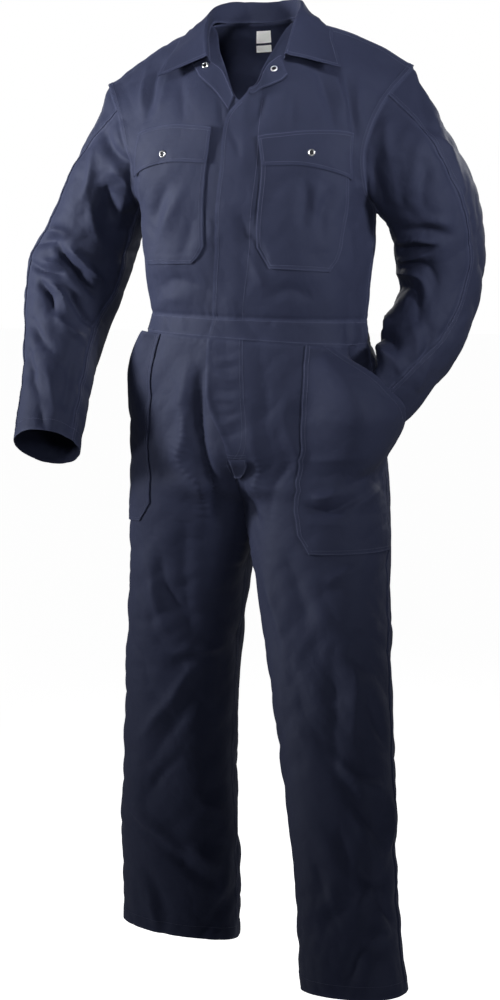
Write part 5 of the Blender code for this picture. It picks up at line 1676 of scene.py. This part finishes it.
def stitching(name, lines, tree, material, pitch, radius):
    """A group's rows of stitching as one plain mesh."""
    curve = bpy.data.curves.new(name + "_lines", "CURVE")
    curve.dimensions = "3D"
    for line in lines:
        run = curve.splines.new("POLY")
        run.points.add(len(line) - 1)
        run.points.foreach_set("co", np.pad(line, ((0, 0), (0, 1)), constant_values=1.0).ravel())
    guide = bpy.data.objects.new(name + "_lines", curve)
    bpy.context.scene.collection.objects.link(guide)
    sewing = guide.modifiers.new("Stitching", "NODES")
    sewing.node_group = tree
    named = {item.name: item.identifier for item in tree.interface.items_tree if item.in_out == "INPUT"}
    sewing[named["Pitch"]] = pitch
    sewing[named["Stitch"]] = 0.8 * pitch
    sewing[named["Radius"]] = radius
    sewing[named["Thread"]] = material
    graph = bpy.context.evaluated_depsgraph_get()
    mesh = bpy.data.meshes.new_from_object(guide.evaluated_get(graph))
    bpy.data.objects.remove(guide, do_unlink=True)
    bpy.data.curves.remove(curve)
    mesh.name = name
    made = bpy.data.objects.new(name, mesh)
    bpy.context.scene.collection.objects.link(made)
    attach(made, BODY)
    return made


def snap(name, piece, column, row, metal, middle_material, turns=48):
    """A ring snap cap turned from a profile and set on its piece."""
    place = np.array([column]), np.array([row])
    middle = at(piece, *place)[0]
    way = at(piece, *place, "ways")[0]
    way /= np.linalg.norm(way)
    across = np.cross((0.0, 0.0, 1.0), way)
    across /= np.linalg.norm(across)
    up = np.cross(way, across)
    points = [middle - way * SNAP_FOOT]
    angles = np.linspace(0, 2 * math.pi, turns + 1)[:-1]
    for radius, height in SNAP_PROFILE:
        for angle in angles:
            spoke = across * math.cos(angle) + up * math.sin(angle)
            points.append(middle + spoke * radius + way * height)
    top = len(points)
    points.append(middle + way * SNAP_CROWN)
    faces = []
    for k in range(turns):
        n = (k + 1) % turns
        faces.append((0, 1 + n, 1 + k))
        for ring in range(len(SNAP_PROFILE) - 1):
            low, high = 1 + ring * turns, 1 + (ring + 1) * turns
            faces.append((low + k, low + n, high + n, high + k))
        last = 1 + (len(SNAP_PROFILE) - 1) * turns
        faces.append((top, last + k, last + n))
    mesh = bpy.data.meshes.new(name + "_cap")
    mesh.from_pydata([tuple(p) for p in points], [], faces)
    mesh.materials.append(metal)
    mesh.materials.append(middle_material)
    for face in mesh.polygons:
        near = (face.center - Vector(middle)).length
        face.material_index = int(near < SNAP_MIDDLE)
    mesh.shade_smooth()
    made = bpy.data.objects.new(name + "_cap", mesh)
    bpy.context.scene.collection.objects.link(made)
    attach(made, BODY)
    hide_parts(name)
    return made


def softbox(name, place, target, size, spread, strength):
    """A soft square light that faces a point."""
    light = bpy.data.lights.new(name, "AREA")
    light.shape = "SQUARE"
    light.size = size
    light.energy = strength
    light.spread = spread
    made = bpy.data.objects.new(name, light)
    made.location = place
    made.rotation_euler = (Vector(target) - Vector(place)).to_track_quat("-Z", "Y").to_euler()
    bpy.context.scene.collection.objects.link(made)
    return made


def snap_places(cloth):
    """Each snap with the piece that it is pressed into and its place on it."""
    for name, panel, column, row in STUDS:
        wanted = at(cloth[panel], np.array([column]), np.array([row]))[0]
        piece = cloth[SNAP_PIECES[name]]
        apart = np.linalg.norm(piece["grid"] - wanted, axis=2)
        down, over = np.unravel_index(apart.argmin(), apart.shape)
        yield name, piece, piece["columns"][over], piece["rows"][down]


def studio_world():
    """A white surround to look at, which lights the suit only softly."""
    world = bpy.data.worlds.new("Studio")
    world.use_nodes = True
    tree = world.node_tree
    seen = tree.nodes.new("ShaderNodeLightPath").outputs["Is Camera Ray"]
    strength = maths(tree, "MAXIMUM", seen, AMBIENT)
    tree.links.new(strength, tree.nodes["Background"].inputs["Strength"])
    tree.nodes["Background"].inputs["Color"].default_value = (1, 1, 1, 1)
    return world


def pale_floor(height):
    """A wide pale floor."""
    mesh = bpy.data.meshes.new("floor")
    corners = [(x * FLOOR_REACH, y * FLOOR_REACH, 0) for x, y in ((-1, -1), (1, -1), (1, 1), (-1, 1))]
    mesh.from_pydata(corners, [], [(0, 1, 2, 3)])
    made, tree, shader = bare_material("Pale floor", 0.0, 0.9)
    shader.inputs["Base Color"].default_value = (0.9, 0.9, 0.9, 1)
    shader.inputs["Specular IOR Level"].default_value = 0.0
    shader.inputs["Emission Color"].default_value = (1, 1, 1, 1)
    seen = tree.nodes.new("ShaderNodeLightPath").outputs["Is Camera Ray"]
    tree.links.new(maths(tree, "MULTIPLY", seen, FLOOR_GLOW), shader.inputs["Emission Strength"])
    mesh.materials.append(made)
    floor = bpy.data.objects.new("floor", mesh)
    floor.location.z = height
    bpy.context.scene.collection.objects.link(floor)
    return floor


def build_stage(scene, sizes):
    """The floor, the lights round the suit and the camera in front of it."""
    floor = pale_floor(sizes.floor)
    lights = [
        softbox(name, place, target, size, math.radians(spread), energy * sizes.light)
        for name, place, target, size, spread, energy in LIGHTS
    ]
    scene.world = studio_world()
    scene.view_settings.view_transform = "Standard"
    turn, lift = sizes.azimuth, sizes.elevation
    lens = bpy.data.cameras.new("camera")
    lens.lens = LENS
    camera = bpy.data.objects.new("camera", lens)
    back = Vector((math.sin(turn) * math.cos(lift), -math.cos(turn) * math.cos(lift), math.sin(lift)))
    camera.location = Vector(AIM) + CAMERA_AWAY * back
    camera.rotation_euler = (-back).to_track_quat("-Z", "Y").to_euler()
    scene.collection.objects.link(camera)
    scene.camera = camera


class ClothSizes(bpy.types.PropertyGroup):
    """Sizes and colour of the cloth."""

    thickness: bpy.props.FloatProperty(
        name="Thickness", description="Thickness of the cloth",
        default=CLOTH, min=0.0006, max=0.002, unit="LENGTH",
    )
    fineness: bpy.props.FloatProperty(
        name="Fineness", description="Distance between the points of the cloth",
        default=0.0050, min=0.003, max=0.02, unit="LENGTH",
    )
    depth: bpy.props.FloatProperty(
        name="Fold depth", description="Depth of the folds against their usual depth",
        default=1.25, min=0.0, max=1.3, subtype="FACTOR",
    )
    colour: bpy.props.FloatVectorProperty(
        name="Cloth colour", description="Colour of the cloth",
        default=(0.0190, 0.0224, 0.0455), min=0, max=1, subtype="COLOR",
    )
    label_colour: bpy.props.FloatVectorProperty(
        name="Label colour", description="Colour of the blank labels",
        default=(0.80, 0.80, 0.78), min=0, max=1, subtype="COLOR",
    )


class SewingSizes(bpy.types.PropertyGroup):
    """Sizes and colours of the thread and the snaps."""

    pitch: bpy.props.FloatProperty(
        name="Stitch length", description="Distance from one stitch to the next",
        default=0.0030, min=0.002, max=0.006, unit="LENGTH",
    )
    radius: bpy.props.FloatProperty(
        name="Thread radius", description="Radius of the sewing thread",
        default=0.00042, min=0.0001, max=0.0006, unit="LENGTH",
    )
    thread: bpy.props.FloatVectorProperty(
        name="Thread colour", description="Colour of the sewing thread",
        default=(0.060, 0.068, 0.115), min=0, max=1, subtype="COLOR",
    )
    metal: bpy.props.FloatVectorProperty(
        name="Snap colour", description="Colour of the snaps",
        default=(0.62, 0.62, 0.63), min=0, max=1, subtype="COLOR",
    )


class StageSizes(bpy.types.PropertyGroup):
    """Floor, light and camera."""

    floor: bpy.props.FloatProperty(
        name="Floor height", description="Height of the floor", default=-1.60, unit="LENGTH"
    )
    light: bpy.props.FloatProperty(
        name="Light", description="Strength of the soft lights against the usual",
        default=1.0, min=0.0, max=4.0, subtype="FACTOR",
    )
    azimuth: bpy.props.FloatProperty(
        name="Azimuth", description="Angle of the camera round the suit",
        default=math.radians(18), subtype="ANGLE",
    )
    elevation: bpy.props.FloatProperty(
        name="Elevation", description="Angle of the camera above level",
        default=math.radians(6), subtype="ANGLE",
    )


def finished():
    """The finished surfaces for the present sizes, made once and kept for the operators that follow."""
    sizes = bpy.context.scene.suit_cloth
    asked = (round(sizes.depth, 6), round(sizes.fineness, 6))
    if asked not in FINISHED:
        FINISHED.clear()
        FINISHED[asked] = finished_cloth(*asked)
    return FINISHED[asked]


def weaves():
    """The node groups that the cloth materials share."""
    if "Twill" not in bpy.data.node_groups:
        twill_group()
    if "Wear" not in bpy.data.node_groups:
        wear_group()
    return bpy.data.node_groups["Twill"], bpy.data.node_groups["Wear"]


class SUIT_OT_panels(bpy.types.Operator):
    """Make the bodice, waistband, trousers and sleeves"""

    bl_idname = "suit.panels"
    bl_label = "Panels"

    def execute(self, context):
        sizes = context.scene.suit_cloth
        cloth = cloth_material("Navy twill", tuple(sizes.colour), weaves())
        for name in EDGES:
            if name != "collar":
                cloth_piece(finished()[name], cloth, sizes.thickness)
        return {"FINISHED"}


class SUIT_OT_collar(bpy.types.Operator):
    """Make the collar and the two lapels"""

    bl_idname = "suit.collar"
    bl_label = "Collar and lapels"

    def execute(self, context):
        sizes = context.scene.suit_cloth
        cloth = cloth_material("Navy twill collar", tuple(sizes.colour), weaves())
        for name in ("collar", "lapel_left", "lapel_right"):
            cloth_piece(finished()[name], cloth, sizes.thickness)
        return {"FINISHED"}


class SUIT_OT_pockets(bpy.types.Operator):
    """Make the pockets, their flaps and the tongue of the fly"""

    bl_idname = "suit.pockets"
    bl_label = "Pockets and flaps"

    def execute(self, context):
        sizes = context.scene.suit_cloth
        cloth = cloth_material("Navy twill pockets", tuple(sizes.colour), weaves())
        for name in (row[0] for row in SEWN):
            if not name.startswith("lapel"):
                cloth_piece(finished()[name], cloth, sizes.thickness)
        return {"FINISHED"}


class SUIT_OT_labels(bpy.types.Operator):
    """Make the two blank labels inside the neck"""

    bl_idname = "suit.labels"
    bl_label = "Labels"

    def execute(self, context):
        sizes = context.scene.suit_cloth
        ribbon = cloth_material("White ribbon", tuple(sizes.label_colour), weaves(), 0.5, 2600.0, 0.1)
        for name, piece in label_pieces(finished()["back"]).items():
            cloth_piece(piece, ribbon, LABEL, 0.0)
        return {"FINISHED"}


class SUIT_OT_stitching(bpy.types.Operator):
    """Sew the rows of stitching"""

    bl_idname = "suit.stitching"
    bl_label = "Stitching"

    def execute(self, context):
        sizes = context.scene.suit_sewing
        thread = thread_material("Navy thread", tuple(sizes.thread))
        tree = stitch_tree()
        for name, lines in stitch_lines(finished()).items():
            stitching("stitching_" + name, lines, tree, thread, sizes.pitch, sizes.radius)
        return {"FINISHED"}


class SUIT_OT_snaps(bpy.types.Operator):
    """Press the snaps into the flaps and the lapels"""

    bl_idname = "suit.snaps"
    bl_label = "Snaps"

    def execute(self, context):
        metal = metal_material("Snap metal", tuple(context.scene.suit_sewing.metal), 0.30)
        middle = metal_material("Snap middle", (0.030, 0.030, 0.034), 0.40)
        for name, piece, column, row in snap_places(finished()):
            snap(name, piece, column, row, metal, middle)
        return {"FINISHED"}


class SUIT_OT_stage(bpy.types.Operator):
    """Set the floor, the lights and the camera"""

    bl_idname = "suit.stage"
    bl_label = "Floor, light and camera"

    def execute(self, context):
        build_stage(context.scene, context.scene.suit_stage)
        return {"FINISHED"}


class SUIT_PT_sidebar(bpy.types.Panel):
    """Lists the suit's sizes and operators"""

    bl_idname = "SUIT_PT_sidebar"
    bl_label = "Boiler suit"
    bl_space_type = "VIEW_3D"
    bl_region_type = "UI"
    bl_category = "Boiler suit"

    def draw(self, context):
        column = self.layout.column()
        for group in (context.scene.suit_cloth, context.scene.suit_sewing, context.scene.suit_stage):
            for name in group.__annotations__:
                column.prop(group, name)
        for operator in OPERATORS:
            column.operator(operator.bl_idname)


GROUPS = (("suit_cloth", ClothSizes), ("suit_sewing", SewingSizes), ("suit_stage", StageSizes))
OPERATORS = (
    SUIT_OT_panels,
    SUIT_OT_collar,
    SUIT_OT_pockets,
    SUIT_OT_labels,
    SUIT_OT_stitching,
    SUIT_OT_snaps,
    SUIT_OT_stage,
)


def register():
    """Makes the sizes, the operators and the panel known to Blender."""
    for name, group in GROUPS:
        bpy.utils.register_class(group)
        setattr(bpy.types.Scene, name, bpy.props.PointerProperty(type=group))
    for kind in (*OPERATORS, SUIT_PT_sidebar):
        bpy.utils.register_class(kind)


def unregister():
    """Takes back what register made known."""
    for kind in (SUIT_PT_sidebar, *reversed(OPERATORS)):
        bpy.utils.unregister_class(kind)
    for name, group in reversed(GROUPS):
        delattr(bpy.types.Scene, name)
        bpy.utils.unregister_class(group)


def main():
    """Builds the suit and its stage."""
    register()
    bpy.ops.suit.panels()
    bpy.ops.suit.collar()
    bpy.ops.suit.pockets()
    bpy.ops.suit.labels()
    bpy.ops.suit.stitching()
    bpy.ops.suit.snaps()
    bpy.ops.suit.stage()


if __name__ == "__main__":
    main()
